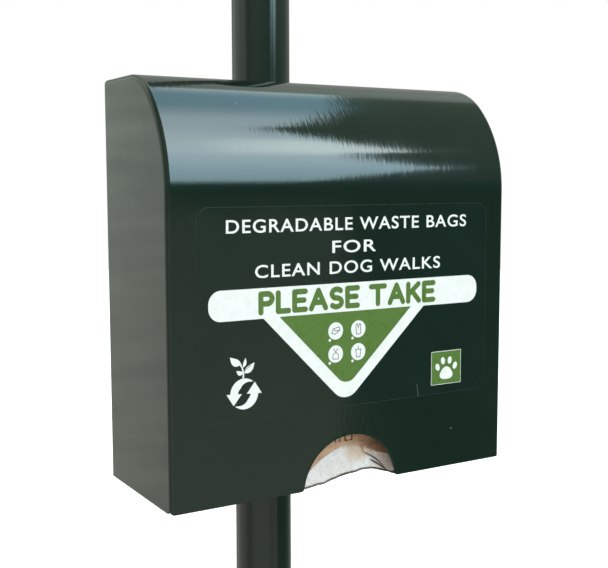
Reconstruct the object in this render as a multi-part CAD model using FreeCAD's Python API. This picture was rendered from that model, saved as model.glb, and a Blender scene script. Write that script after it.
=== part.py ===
import FreeCAD, Part
import math
import os

# Dog waste bag dispenser: a folded steel case with a rounded top, strapped to a round post.
# Units are millimetres. The origin is on the post's axis at the lower end of the post section.
# +Z is up, the front of the case faces -Y and +X is to the right of somebody facing it.

V = FreeCAD.Vector
X_AXIS = V(1, 0, 0)
Y_AXIS = V(0, 1, 0)
Z_AXIS = V(0, 0, 1)

# How far a cutter runs past the faces that it cuts
OVER = 1.0

# Post section
POST_R = 30.0
POST_WALL = 2.0
POST_LENGTH = 650.0
CAP_SKIRT = 12.0
CAP_WALL = 3.0
CAP_DOME = 9.0

# Case
CASE_WIDTH = 366.0
CASE_DEPTH = 140.0
CASE_HEIGHT = 377.0
CASE_BOTTOM_Z = 160.0
POST_GAP = 3.0
SHEET = 2.0
CORNER_R = 4.5
LOWER_CORNER_R = 3.5
FRONT_ARC_R = 118.5
ROOF_ARC_R = 68.7
ARC_SWEEP = math.radians(45.0)
NOTCH_R = 51.2
NOTCH_DROP = 4.4
NOTCH_CORNER_R = 4.0

REAR_Y = -(POST_R + POST_GAP)
FRONT_Y = REAR_Y - CASE_DEPTH
TOP_Z = CASE_BOTTOM_Z + CASE_HEIGHT
SIDE_X = CASE_WIDTH / 2
INNER_SIDE_X = SIDE_X - SHEET

# Label on the front
LABEL_WIDTH = 318.0
LABEL_HEIGHT = 187.0
LABEL_CENTRE_X = 2.0
LABEL_CENTRE_Z = CASE_BOTTOM_Z + 168.0
LABEL_CORNER_R = 13.0
LABEL_THICK = 0.2

# Back plate
TRAY_CLEARANCE = 1.0
TRAY_SIDE_X = INNER_SIDE_X - TRAY_CLEARANCE
TRAY_BOTTOM_Z = CASE_BOTTOM_Z + 2.0
TRAY_TOP_Z = TOP_Z - 8.0
SIDE_FLANGE = 32.0
BOTTOM_FLANGE = 10.0
TRAY_BEND_R = 3.0
TRAY_FRONT_Y = REAR_Y - SHEET
WALL_HOLE_X = 140.0
WALL_HOLE_R = 4.5
WALL_HOLE_LOW_Z = 210.0
WALL_HOLE_HIGH_Z = 490.0

# Hinge along the top rear edge
KNUCKLE_R = 3.5
PIN_R = 1.5
PIN_CLEARANCE = 0.05
HINGE_HALF_LENGTH = 170.0
KNUCKLE_COUNT = 17
KNUCKLE_GAP = 0.4
LEAF_THICK = 1.5
FIXED_LEAF_HEIGHT = 30.0
MOVING_LEAF_DEPTH = 26.0
LEAF_RELIEF = 0.6
PIN_HEAD_R = 2.4
PIN_HEAD_LENGTH = 1.5
HINGE_Y = REAR_Y - KNUCKLE_R
HINGE_Z = TOP_Z - KNUCKLE_R
KNUCKLE_ROOT = PIN_R + PIN_CLEARANCE + 0.6
HINGE_SLOT_END_GAP = 1.0
LEAF_RIVET_X = (-150.0, -90.0, -30.0, 30.0, 90.0, 150.0)
LEAF_RIVET_Z = 515.0

# Rivets
RIVET_R = 2.0
RIVET_HEAD_R = 3.6
RIVET_HEAD = 1.4
RIVET_TAIL_R = 3.0

# Straps round the post
STRAP_THICK = 3.0
STRAP_HEIGHT = 30.0
STRAP_EAR_X = 62.0
STRAP_BOLT_X = 48.0
LOWER_STRAP_Z = 240.0
UPPER_STRAP_Z = 490.0
SADDLE_HALF_WIDTH = 22.0
SADDLE_HEIGHT = 40.0

# M8 fasteners
M8_R = 4.0
M8_HOLE_R = 4.5
M8_FLATS = 13.0
M8_HEAD = 5.3
M8_NUT = 6.5
M8_WASHER_R = 8.0
M8_WASHER = 1.6
M8_WASHER_BORE_R = 4.2
STRAP_BOLT_TIP_Y = -45.5

# Bag packs on their studs
STUD_X = 60.0
STUD_Z = 455.0
STUD_TIP_Y = -158.0
STUD_FOOT_R = 9.0
STUD_FOOT = 2.0
STUD_TIP_FILLET = 0.8
PACK_COUNT = 4
PACK_PITCH = 24.0
PACK_REAR_Y = -47.0
PACK_HALF_WIDTH = 100.0
PACK_THICK = 22.0
PACK_TOP_Z = 471.0
PACK_BOTTOM_Z = (164.0, 167.0, 165.0, 168.0)
PACK_EDGE_R = 3.0
PACK_HOLE_R = 5.0
CARD_THICK = 0.9
CARD_HEIGHT = 27.0
SPACER_R = 7.0
SPACER_BORE_R = 4.1

# Card folder and the loose bag that hang in front of the packs
FOLDER_HALF_WIDTH = 96.0
FOLDER_THICK = 1.0
FOLDER_TOP_Z = 471.0
FOLDER_TOP_Y = -143.7
FOLDER_BEND_Z = (420.0, 240.0)
FOLDER_LOW_Y = -161.0
FOLDER_BOTTOM_Z = 157.0
FOLDER_ARCH_X = 12.0
FOLDER_ARCH_HALF_WIDTH = 50.0
FOLDER_ARCH_HEIGHT = 34.0
BAG_HALF_WIDTH = 98.0
BAG_THICK = 1.0
BAG_TOP_Z = 442.0
BAG_TOP_Y = -142.6
BAG_BEND_Z = (400.0, 200.0)
BAG_LOW_Y = -157.5
BAG_BOTTOM_Z = 155.5
SHEET_BEND_R = 120.0

# Retainer bar and wing nuts
RETAINER_HALF_LENGTH = 80.0
RETAINER_HEIGHT = 22.0
RETAINER_THICK = 3.0
RETAINER_REAR_Y = -144.3
RETAINER_CORNER_R = 5.0
WING_NUT_REAR_Y = -147.4
WING_HUB_R = 7.0
WING_HUB_LENGTH = 8.0
WING_SPAN_R = 16.0
WING_THICK = 2.6
WING_RISE = 3.0
WING_BORE_CLEARANCE = 0.08
WING_HUB_TAPER = 1.2
WING_ROOT_X = 4.0
WING_ROOT_GAP = 1.5
WING_TIP_GAP = 1.0
WING_TIP_R = 2.0

# Cam lock in the right cheek
LOCK_Y = -90.0
LOCK_Z = 230.0
LOCK_FLANGE_R = 13.0
LOCK_FLANGE = 2.5
LOCK_BARREL_R = 9.5
LOCK_BARREL_LENGTH = 22.0
LOCK_CUP_R = 8.0
LOCK_CUP_DEPTH = 9.5
LOCK_NUT_FLATS = 24.0
LOCK_NUT = 4.0
LOCK_EDGE_R = 1.0
LOCK_HOLE_CLEARANCE = 0.1
PLUG_INNER_X = SIDE_X - LOCK_BARREL_LENGTH - 1.0
CUP_X = SIDE_X + LOCK_FLANGE - LOCK_CUP_DEPTH
PLUG_R = 6.0
PLUG_CLEARANCE = 0.05
TRIANGLE_R = 4.6
TRIANGLE_LENGTH = 8.0
CAM_LENGTH = 34.0
CAM_HALF_WIDTH = 7.0
CAM_THICK = 3.0
CAM_SCREW_R = 3.0
CAM_SCREW_HEAD_R = 5.0
CAM_SCREW_HEAD = 3.6
CAM_SCREW_DEPTH = 8.0
CAM_SCREW_CLEARANCE = 0.1
CAM_TIP_R = 3.0
HEX_SOCKET_R = 2.3
HEX_SOCKET_DEPTH = 2.0

# Keeper that the cam turns behind
KEEPER_THICK = 2.0
KEEPER_LOW_Z = 252.0
KEEPER_HIGH_Z = 268.0
KEEPER_TAB_Y = -100.0
KEEPER_TAB_X = 150.0
KEEPER_RIVET_Y = -50.0
KEEPER_RIVET_OFFSET = 4.0
KEEPER_REAR_GAP = 5.0

# Closing stops
STOP_Z = 185.0
STOP_HALF_HEIGHT = 8.0
STOP_BRACKET_X = 170.0
STOP_BRACKET_THICK = 2.0
STOP_GAP = 0.3
BUFFER_THICK = 5.0
BUFFER_DEPTH = 13.0
BUFFER_FRONT_Y = -69.0


def block(x_range, y_range, z_range):
    """A box between three pairs of limits."""
    size = [pair[1] - pair[0] for pair in (x_range, y_range, z_range)]
    return Part.makeBox(*size, V(x_range[0], y_range[0], z_range[0]))


def rod(radius, start, axis, length):
    """A solid cylinder."""
    return Part.makeCylinder(radius, length, start, axis)


def drill(radius, start, axis, length):
    """A cutter that runs past both ends of the hole."""
    return rod(radius, start - axis * OVER, axis, length + 2 * OVER)


def ring(outer_r, inner_r, start, axis, length):
    """A hollow cylinder."""
    return rod(outer_r, start, axis, length).cut(drill(inner_r, start, axis, length))


def prism(points, direction):
    """A closed outline of straight edges, pulled along a direction."""
    outline = Part.makePolygon(points + [points[0]])
    return Part.Face(outline).extrude(direction)


def polygon_rod(sides, corner_r, centre, length, turn_deg=0.0):
    """A bar along +X or +Y with a regular polygon section; the axis is the direction of length."""
    along_x = abs(length.x) > 0
    points = []
    for i in range(sides):
        angle = math.radians(turn_deg) + 2 * math.pi * i / sides
        across = corner_r * math.cos(angle)
        up = corner_r * math.sin(angle)
        offset = V(0, across, up) if along_x else V(across, 0, up)
        points.append(centre + offset)
    return prism(points, length)


def hex_corner_r(flats):
    """Corner radius of a hexagon from its width across flats."""
    return flats / math.sqrt(3)


def fillet_where(shape, radius, wanted):
    """Rounds the edges for which wanted(edge bounding box) is true."""
    edges = [edge for edge in shape.Edges if wanted(edge.BoundBox)]
    return shape.makeFillet(radius, edges)


def near(value, target):
    return abs(value - target) < 0.01


def group(shapes):
    """Separate solids kept side by side in one node."""
    return Part.makeCompound(shapes)


def mirrored(shape):
    """The same shape on the other side of the case."""
    return shape.mirror(V(0, 0, 0), X_AXIS)


# ---- post -----------------------------------------------------------------------------------


def make_post_tube():
    return ring(POST_R, POST_R - POST_WALL, V(0, 0, 0), Z_AXIS, POST_LENGTH)


def make_post_cap():
    """A domed cap whose skirt goes over the end of the tube."""
    outer_r = POST_R + CAP_WALL
    skirt_z = POST_LENGTH - CAP_SKIRT
    shoulder_z = POST_LENGTH + CAP_WALL
    crown_z = shoulder_z + CAP_DOME
    sphere_r = (outer_r**2 + CAP_DOME**2) / (2 * CAP_DOME)
    half_angle = math.asin(outer_r / sphere_r) / 2
    middle = V(sphere_r * math.sin(half_angle), 0, crown_z - sphere_r * (1 - math.cos(half_angle)))
    crown = V(0, 0, crown_z)
    shoulder = V(outer_r, 0, shoulder_z)
    corners = [
        shoulder,
        V(outer_r, 0, skirt_z),
        V(POST_R, 0, skirt_z),
        V(POST_R, 0, POST_LENGTH),
        V(0, 0, POST_LENGTH),
        crown,
    ]
    edges = [Part.makeLine(a, b) for a, b in zip(corners, corners[1:])]
    edges.append(Part.Arc(crown, middle, shoulder).toShape())
    section = Part.Face(Part.Wire(edges))
    return section.revolve(V(0, 0, 0), Z_AXIS, 360)


def make_saddle_pad(centre_z):
    """A rubber block between the back plate and the post, hollowed to the post's radius."""
    post_y_at_edge = -math.sqrt(POST_R**2 - SADDLE_HALF_WIDTH**2)
    z_range = (centre_z - SADDLE_HEIGHT / 2, centre_z + SADDLE_HEIGHT / 2)
    pad = block((-SADDLE_HALF_WIDTH, SADDLE_HALF_WIDTH), (REAR_Y, post_y_at_edge), z_range)
    return pad.cut(drill(POST_R, V(0, 0, z_range[0]), Z_AXIS, SADDLE_HEIGHT))


def make_strap(centre_z):
    """A flat band bent round the back of the post, with an ear on each side of it."""
    low_z = centre_z - STRAP_HEIGHT / 2
    high_z = centre_z + STRAP_HEIGHT / 2
    outer_r = POST_R + STRAP_THICK
    band = ring(outer_r, POST_R, V(0, 0, low_z), Z_AXIS, STRAP_HEIGHT)
    band = band.common(block((-outer_r, outer_r), (0, outer_r), (low_z, high_z)))
    leg = block((POST_R, outer_r), (REAR_Y, 0), (low_z, high_z))
    ear = block((POST_R, STRAP_EAR_X), (REAR_Y, REAR_Y + STRAP_THICK), (low_z, high_z))
    ear = ear.cut(drill(M8_HOLE_R, V(STRAP_BOLT_X, REAR_Y, centre_z), Y_AXIS, STRAP_THICK))
    side = leg.fuse(ear)
    return band.fuse([side, mirrored(side)]).removeSplitter()


def strap_bolt_places():
    return [V(x, 0, z) for z in (LOWER_STRAP_Z, UPPER_STRAP_Z) for x in (-STRAP_BOLT_X, STRAP_BOLT_X)]


def make_strap_bolts():
    """Hexagon bolts from behind, through the ears and the back plate."""
    bolts = []
    ear_y = REAR_Y + STRAP_THICK
    for place in strap_bolt_places():
        seat = V(place.x, ear_y, place.z)
        head = polygon_rod(6, hex_corner_r(M8_FLATS), seat, V(0, M8_HEAD, 0))
        shank = rod(M8_R, V(place.x, STRAP_BOLT_TIP_Y, place.z), Y_AXIS, ear_y - STRAP_BOLT_TIP_Y)
        bolts.append(head.fuse(shank))
    return group(bolts)


def make_strap_washers():
    washers = []
    for place in strap_bolt_places():
        start = V(place.x, TRAY_FRONT_Y - M8_WASHER, place.z)
        washers.append(ring(M8_WASHER_R, M8_WASHER_BORE_R, start, Y_AXIS, M8_WASHER))
    return group(washers)


def make_strap_nuts():
    nuts = []
    nut_y = TRAY_FRONT_Y - M8_WASHER - M8_NUT
    for place in strap_bolt_places():
        start = V(place.x, nut_y, place.z)
        blank = polygon_rod(6, hex_corner_r(M8_FLATS), start, V(0, M8_NUT, 0))
        nuts.append(blank.cut(drill(M8_R, start, Y_AXIS, M8_NUT)))
    return group(nuts)


# ---- case cover -----------------------------------------------------------------------------


def case_outline(inset, rear_y, bottom_z):
    """The case's side profile: upright front, two tangent arcs and a flat roof."""
    front_y = FRONT_Y + inset
    top_z = TOP_Z - inset
    front_r = FRONT_ARC_R - inset
    roof_r = ROOF_ARC_R - inset
    step = FRONT_ARC_R - ROOF_ARC_R
    arc_start_z = TOP_Z - ROOF_ARC_R - step * math.sin(ARC_SWEEP)
    front_centre = V(0, FRONT_Y + FRONT_ARC_R, arc_start_z)
    roof_centre = front_centre + V(0, -step * math.cos(ARC_SWEEP), step * math.sin(ARC_SWEEP))

    def on_arc(centre, radius, angle):
        return centre + V(0, -radius * math.cos(angle), radius * math.sin(angle))

    start = on_arc(front_centre, front_r, 0)
    joint = on_arc(front_centre, front_r, ARC_SWEEP)
    crown = on_arc(roof_centre, roof_r, math.pi / 2)
    front_arc = Part.Arc(start, on_arc(front_centre, front_r, ARC_SWEEP / 2), joint)
    roof_middle = on_arc(roof_centre, roof_r, (ARC_SWEEP + math.pi / 2) / 2)
    roof_arc = Part.Arc(joint, roof_middle, crown)
    edges = [
        Part.makeLine(V(0, front_y, bottom_z), start),
        front_arc.toShape(),
        roof_arc.toShape(),
        Part.makeLine(crown, V(0, rear_y, top_z)),
        Part.makeLine(V(0, rear_y, top_z), V(0, rear_y, bottom_z)),
        Part.makeLine(V(0, rear_y, bottom_z), V(0, front_y, bottom_z)),
    ]
    return Part.Wire(edges)


def rounded_case_solid(inset, rear_y, bottom_z):
    """The outline pulled across the case's width, with its long side edges rounded."""
    half = SIDE_X - inset
    face = Part.Face(case_outline(inset, rear_y, bottom_z))
    face.translate(V(-half, 0, 0))
    solid = face.extrude(V(2 * half, 0, 0))

    def is_bend(bounds):
        on_side = near(bounds.XMin, bounds.XMax) and near(abs(bounds.XMin), half)
        on_rear = near(bounds.YMin, rear_y)
        on_bottom = near(bounds.ZMax, bottom_z)
        return on_side and not on_rear and not on_bottom

    return fillet_where(solid, CORNER_R - inset, is_bend)


def lower_corner_trim():
    """What is taken off to round the front's lower corner in the XZ plane."""
    centre = V(SIDE_X - LOWER_CORNER_R, FRONT_Y - OVER, CASE_BOTTOM_Z + LOWER_CORNER_R)
    depth = CORNER_R + OVER
    corner = block(
        (centre.x, SIDE_X + OVER), (FRONT_Y - OVER, FRONT_Y + CORNER_R), (CASE_BOTTOM_Z - OVER, centre.z)
    )
    return corner.cut(rod(LOWER_CORNER_R, centre, Y_AXIS, depth))


def make_cover_shell():
    """The whole cover in one piece: open at the back and below, with the bag notch."""
    outer = rounded_case_solid(0, REAR_Y, CASE_BOTTOM_Z)
    inner = rounded_case_solid(SHEET, REAR_Y + 10, CASE_BOTTOM_Z - 10)
    shell = outer.cut(inner)
    notch_start = V(0, FRONT_Y, CASE_BOTTOM_Z - NOTCH_DROP)
    shell = shell.cut(drill(NOTCH_R, notch_start, Y_AXIS, SHEET))
    trim = lower_corner_trim()
    return shell.cut([trim, mirrored(trim)])


def make_cover_wrap(shell):
    """Front, curved top and roof, rolled from one sheet."""
    seam_x = SIDE_X - CORNER_R
    hinge_gap = KNUCKLE_R + LEAF_RELIEF
    sheet_zone = block(
        (-seam_x, seam_x), (FRONT_Y - OVER, REAR_Y + OVER), (CASE_BOTTOM_Z - OVER, TOP_Z + OVER)
    )
    wrap = shell.common(sheet_zone)
    slot_x = HINGE_HALF_LENGTH + PIN_HEAD_LENGTH + HINGE_SLOT_END_GAP
    wrap = wrap.cut(
        block((-slot_x, slot_x), (HINGE_Y - hinge_gap, REAR_Y + OVER), (HINGE_Z, TOP_Z + OVER))
    )

    def is_notch_corner(bounds):
        flat = near(bounds.XMin, bounds.XMax) and near(bounds.ZMin, bounds.ZMax)
        return flat and near(bounds.ZMin, CASE_BOTTOM_Z) and abs(bounds.XMin) < NOTCH_R + OVER

    return fillet_where(wrap, NOTCH_CORNER_R, is_notch_corner)


def make_cover_side(shell):
    """Cheek on the right with its rounded rim."""
    seam_x = SIDE_X - CORNER_R
    side_zone = block(
        (seam_x, SIDE_X + OVER), (FRONT_Y - OVER, REAR_Y + OVER), (CASE_BOTTOM_Z - OVER, TOP_Z + OVER)
    )
    return shell.common(side_zone)


def make_cover_side_right(shell):
    """The right cheek, bored for the lock."""
    hole_start = V(INNER_SIDE_X, LOCK_Y, LOCK_Z)
    hole = drill(LOCK_BARREL_R + LOCK_HOLE_CLEARANCE, hole_start, X_AXIS, SHEET)
    return make_cover_side(shell).cut(hole)


def make_label_film():
    half_width = LABEL_WIDTH / 2
    half_height = LABEL_HEIGHT / 2
    film = block(
        (LABEL_CENTRE_X - half_width, LABEL_CENTRE_X + half_width),
        (FRONT_Y - LABEL_THICK, FRONT_Y),
        (LABEL_CENTRE_Z - half_height, LABEL_CENTRE_Z + half_height),
    )

    def is_corner(bounds):
        return near(bounds.XMin, bounds.XMax) and near(bounds.ZMin, bounds.ZMax)

    return fillet_where(film, LABEL_CORNER_R, is_corner)


def make_stop_bracket():
    """A tab welded inside the cheek that meets the rubber buffer when the cover closes."""
    rear_y = BUFFER_FRONT_Y - STOP_GAP
    return block(
        (STOP_BRACKET_X, INNER_SIDE_X),
        (rear_y - STOP_BRACKET_THICK, rear_y),
        (STOP_Z - STOP_HALF_HEIGHT, STOP_Z + STOP_HALF_HEIGHT),
    )


def make_stop_buffer():
    """A rubber block bonded inside the back plate's side flange."""
    flange_inner_x = TRAY_SIDE_X - SHEET
    return block(
        (flange_inner_x - BUFFER_THICK, flange_inner_x),
        (BUFFER_FRONT_Y, BUFFER_FRONT_Y + BUFFER_DEPTH),
        (STOP_Z - STOP_HALF_HEIGHT, STOP_Z + STOP_HALF_HEIGHT),
    )


# ---- back plate and hinge -------------------------------------------------------------------


def make_back_plate():
    """A plate with two side flanges and a short bottom flange, drilled for its fasteners."""
    outer = block((-TRAY_SIDE_X, TRAY_SIDE_X), (REAR_Y - SIDE_FLANGE, REAR_Y), (TRAY_BOTTOM_Z, TRAY_TOP_Z))

    def is_outer_bend(bounds):
        upright = near(bounds.XMin, bounds.XMax) and near(bounds.YMin, bounds.YMax)
        return upright and near(bounds.YMin, REAR_Y)

    outer = fillet_where(outer, TRAY_BEND_R, is_outer_bend)
    hollow_x = TRAY_SIDE_X - SHEET
    hollow = block(
        (-hollow_x, hollow_x),
        (REAR_Y - SIDE_FLANGE - OVER, TRAY_FRONT_Y),
        (TRAY_BOTTOM_Z + SHEET, TRAY_TOP_Z + OVER),
    )

    def is_inner_bend(bounds):
        upright = near(bounds.XMin, bounds.XMax) and near(bounds.YMin, bounds.YMax)
        return upright and near(bounds.YMin, TRAY_FRONT_Y)

    hollow = fillet_where(hollow, TRAY_BEND_R - SHEET, is_inner_bend)
    tray = outer.cut(hollow)
    tray = tray.cut(
        block(
            (-hollow_x, hollow_x),
            (REAR_Y - SIDE_FLANGE - OVER, REAR_Y - BOTTOM_FLANGE),
            (TRAY_BOTTOM_Z - OVER, TRAY_BOTTOM_Z + SHEET + OVER),
        )
    )
    drills = []
    for place in strap_bolt_places():
        drills.append(drill(M8_HOLE_R, V(place.x, TRAY_FRONT_Y, place.z), Y_AXIS, SHEET))
    for x in (-WALL_HOLE_X, WALL_HOLE_X):
        for z in (WALL_HOLE_LOW_Z, WALL_HOLE_HIGH_Z):
            drills.append(drill(WALL_HOLE_R, V(x, TRAY_FRONT_Y, z), Y_AXIS, SHEET))
    for x in LEAF_RIVET_X:
        drills.append(drill(RIVET_R, V(x, TRAY_FRONT_Y, LEAF_RIVET_Z), Y_AXIS, SHEET))
    for z in keeper_rivet_heights():
        drills.append(drill(RIVET_R, V(hollow_x, KEEPER_RIVET_Y, z), X_AXIS, SHEET))
    return tray.cut(drills)


def knuckle_spans(first):
    """X ranges of every second knuckle, starting with the given one."""
    pitch = 2 * HINGE_HALF_LENGTH / KNUCKLE_COUNT
    spans = []
    for i in range(first, KNUCKLE_COUNT, 2):
        start = -HINGE_HALF_LENGTH + i * pitch
        spans.append((start + KNUCKLE_GAP / 2, start + pitch - KNUCKLE_GAP / 2))
    return spans


def knuckle(span):
    start = V(span[0], HINGE_Y, HINGE_Z)
    return ring(KNUCKLE_R, PIN_R + PIN_CLEARANCE, start, X_AXIS, span[1] - span[0])


def make_fixed_leaf():
    """Leaf on the front of the back plate, with its own knuckles."""
    tab_base_z = HINGE_Z - KNUCKLE_R - LEAF_RELIEF
    y_range = (TRAY_FRONT_Y - LEAF_THICK, TRAY_FRONT_Y)
    leaf = block(
        (-HINGE_HALF_LENGTH, HINGE_HALF_LENGTH), y_range, (tab_base_z - FIXED_LEAF_HEIGHT, tab_base_z)
    )
    parts = []
    for span in knuckle_spans(0):
        parts.append(knuckle(span))
        parts.append(block(span, y_range, (tab_base_z, HINGE_Z - KNUCKLE_ROOT)))
    leaf = leaf.fuse(parts).removeSplitter()
    drills = [drill(RIVET_R, V(x, y_range[0], LEAF_RIVET_Z), Y_AXIS, LEAF_THICK) for x in LEAF_RIVET_X]
    return leaf.cut(drills)


def make_moving_leaf():
    """Leaf welded under the roof sheet, with the knuckles between the fixed ones."""
    tab_base_y = HINGE_Y - KNUCKLE_R - LEAF_RELIEF
    z_range = (TOP_Z - SHEET - LEAF_THICK, TOP_Z - SHEET)
    leaf = block(
        (-HINGE_HALF_LENGTH, HINGE_HALF_LENGTH), (tab_base_y - MOVING_LEAF_DEPTH, tab_base_y), z_range
    )
    parts = []
    for span in knuckle_spans(1):
        parts.append(knuckle(span))
        parts.append(block(span, (tab_base_y, HINGE_Y - KNUCKLE_ROOT), z_range))
    return leaf.fuse(parts).removeSplitter()


def make_hinge_pin():
    shank = rod(PIN_R, V(-HINGE_HALF_LENGTH, HINGE_Y, HINGE_Z), X_AXIS, 2 * HINGE_HALF_LENGTH)
    head_start = V(HINGE_HALF_LENGTH, HINGE_Y, HINGE_Z)
    head = rod(PIN_HEAD_R, head_start, X_AXIS, PIN_HEAD_LENGTH)
    return shank.fuse([head, mirrored(head)])


def make_leaf_rivets():
    """Round-head rivets through the fixed leaf and the back plate."""
    rivets = []
    head_y = TRAY_FRONT_Y - LEAF_THICK
    for x in LEAF_RIVET_X:
        shank = rod(RIVET_R, V(x, head_y, LEAF_RIVET_Z), Y_AXIS, REAR_Y - head_y)
        head = Part.makeCone(
            RIVET_HEAD_R, RIVET_HEAD_R / 2, RIVET_HEAD, V(x, head_y, LEAF_RIVET_Z), V(0, -1, 0)
        )
        tail = rod(RIVET_TAIL_R, V(x, REAR_Y, LEAF_RIVET_Z), Y_AXIS, RIVET_HEAD / 2)
        rivets.append(shank.fuse([head, tail]))
    return group(rivets)


# ---- bag packs ------------------------------------------------------------------------------


def make_hanger_studs():
    """Threaded studs welded to the back plate by a round foot."""
    studs = []
    for x in (-STUD_X, STUD_X):
        shank = rod(M8_R, V(x, STUD_TIP_Y, STUD_Z), Y_AXIS, TRAY_FRONT_Y - STUD_TIP_Y)
        foot = rod(STUD_FOOT_R, V(x, TRAY_FRONT_Y - STUD_FOOT, STUD_Z), Y_AXIS, STUD_FOOT)
        stud = shank.fuse(foot)
        studs.append(fillet_where(stud, STUD_TIP_FILLET, lambda bounds: near(bounds.YMax, STUD_TIP_Y)))
    return group(studs)


def make_stud_spacers():
    """Plastic sleeves that keep the packs off the strap nuts."""
    rear_y = TRAY_FRONT_Y - STUD_FOOT
    length = rear_y - PACK_REAR_Y
    return group(
        [
            ring(SPACER_R, SPACER_BORE_R, V(x, PACK_REAR_Y, STUD_Z), Y_AXIS, length)
            for x in (-STUD_X, STUD_X)
        ]
    )


def stud_holes(radius, y_range):
    length = y_range[1] - y_range[0]
    return [drill(radius, V(x, y_range[0], STUD_Z), Y_AXIS, length) for x in (-STUD_X, STUD_X)]


def pack_y_range(index):
    rear_y = PACK_REAR_Y - index * PACK_PITCH - (PACK_PITCH - PACK_THICK) / 2
    return (rear_y - PACK_THICK, rear_y)


def make_bag_pack(index):
    """A flat bundle of folded bags, closed and plain."""
    y_range = pack_y_range(index)
    bundle = block((-PACK_HALF_WIDTH, PACK_HALF_WIDTH), y_range, (PACK_BOTTOM_Z[index], PACK_TOP_Z))

    def is_long_edge(bounds):
        return near(bounds.XMin, bounds.XMax) and near(bounds.YMin, bounds.YMax)

    bundle = fillet_where(bundle, PACK_EDGE_R, is_long_edge)
    return bundle.cut(stud_holes(PACK_HOLE_R, y_range))


def make_header_card(index):
    """Card folded over the top of a pack and stapled through it."""
    pack_range = pack_y_range(index)
    y_range = (pack_range[0] - CARD_THICK, pack_range[1] + CARD_THICK)
    low_z = PACK_TOP_Z - CARD_HEIGHT
    card = block((-PACK_HALF_WIDTH, PACK_HALF_WIDTH), y_range, (low_z, PACK_TOP_Z + CARD_THICK))
    hollow_x = PACK_HALF_WIDTH + OVER
    card = card.cut(block((-hollow_x, hollow_x), pack_range, (low_z - OVER, PACK_TOP_Z)))
    return card.cut(stud_holes(PACK_HOLE_R, y_range))


def hanging_sheet(half_width, thick, top, bends_z, low_y, bottom_z):
    """The hanging sheet as a closed solid, from its front and back outlines in the YZ plane."""
    lean = math.atan2(top[0] - low_y, bends_z[0] - bends_z[1])
    upper_centre_y = top[0] - SHEET_BEND_R
    lower_centre_y = low_y + SHEET_BEND_R
    reach = SHEET_BEND_R * math.tan(lean / 2)
    upper_z = bends_z[0] + reach
    lower_z = bends_z[1] - reach

    def outline(offset):
        """Points down one face; offset is towards the front."""
        upper_r = SHEET_BEND_R - offset
        lower_r = SHEET_BEND_R + offset

        def on_upper(angle):
            return V(0, upper_centre_y + upper_r * math.cos(angle), upper_z - upper_r * math.sin(angle))

        def on_lower(angle):
            return V(0, lower_centre_y - lower_r * math.cos(angle), lower_z + lower_r * math.sin(angle))

        return [
            V(0, top[0] - offset, top[1]),
            on_upper(0),
            on_upper(lean / 2),
            on_upper(lean),
            on_lower(lean),
            on_lower(lean / 2),
            on_lower(0),
            V(0, low_y - offset, bottom_z),
        ]

    def face_edges(points):
        return [
            Part.makeLine(points[0], points[1]),
            Part.Arc(points[1], points[2], points[3]).toShape(),
            Part.makeLine(points[3], points[4]),
            Part.Arc(points[4], points[5], points[6]).toShape(),
            Part.makeLine(points[6], points[7]),
        ]

    front = outline(thick / 2)
    back = outline(-thick / 2)
    edges = face_edges(front) + [Part.makeLine(front[-1], back[-1])]
    edges += face_edges(back) + [Part.makeLine(back[0], front[0])]
    section = Part.Face(Part.Wire(Part.__sortEdges__(edges)))
    section.translate(V(-half_width, 0, 0))
    return section.extrude(V(2 * half_width, 0, 0))


def make_pack_folder():
    """Kraft card in front of the packs, with an arch through which the bags are drawn."""
    card = hanging_sheet(
        FOLDER_HALF_WIDTH,
        FOLDER_THICK,
        (FOLDER_TOP_Y, FOLDER_TOP_Z),
        FOLDER_BEND_Z,
        FOLDER_LOW_Y,
        FOLDER_BOTTOM_Z,
    )
    reach = 5 * FOLDER_THICK
    centre = V(FOLDER_ARCH_X, FOLDER_LOW_Y - reach, CASE_BOTTOM_Z)
    side = centre + V(FOLDER_ARCH_HALF_WIDTH, 0, 0)
    arch = Part.Ellipse(side, centre + V(0, 0, FOLDER_ARCH_HEIGHT), centre).toShape()
    card = card.cut(Part.Face(Part.Wire(arch)).extrude(V(0, 2 * reach, 0)))
    return card.cut(stud_holes(PACK_HOLE_R, (FOLDER_TOP_Y - OVER, FOLDER_TOP_Y + OVER)))


def make_front_bag():
    """The next bag to be drawn, hanging loose between the packs and the folder."""
    return hanging_sheet(
        BAG_HALF_WIDTH, BAG_THICK, (BAG_TOP_Y, BAG_TOP_Z), BAG_BEND_Z, BAG_LOW_Y, BAG_BOTTOM_Z
    )


def make_retainer_bar():
    y_range = (RETAINER_REAR_Y - RETAINER_THICK, RETAINER_REAR_Y)
    z_range = (STUD_Z - RETAINER_HEIGHT / 2, STUD_Z + RETAINER_HEIGHT / 2)
    bar = block((-RETAINER_HALF_LENGTH, RETAINER_HALF_LENGTH), y_range, z_range)

    def is_corner(bounds):
        return near(bounds.XMin, bounds.XMax) and near(bounds.ZMin, bounds.ZMax)

    bar = fillet_where(bar, RETAINER_CORNER_R, is_corner)
    return bar.cut(stud_holes(M8_HOLE_R, y_range))


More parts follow.
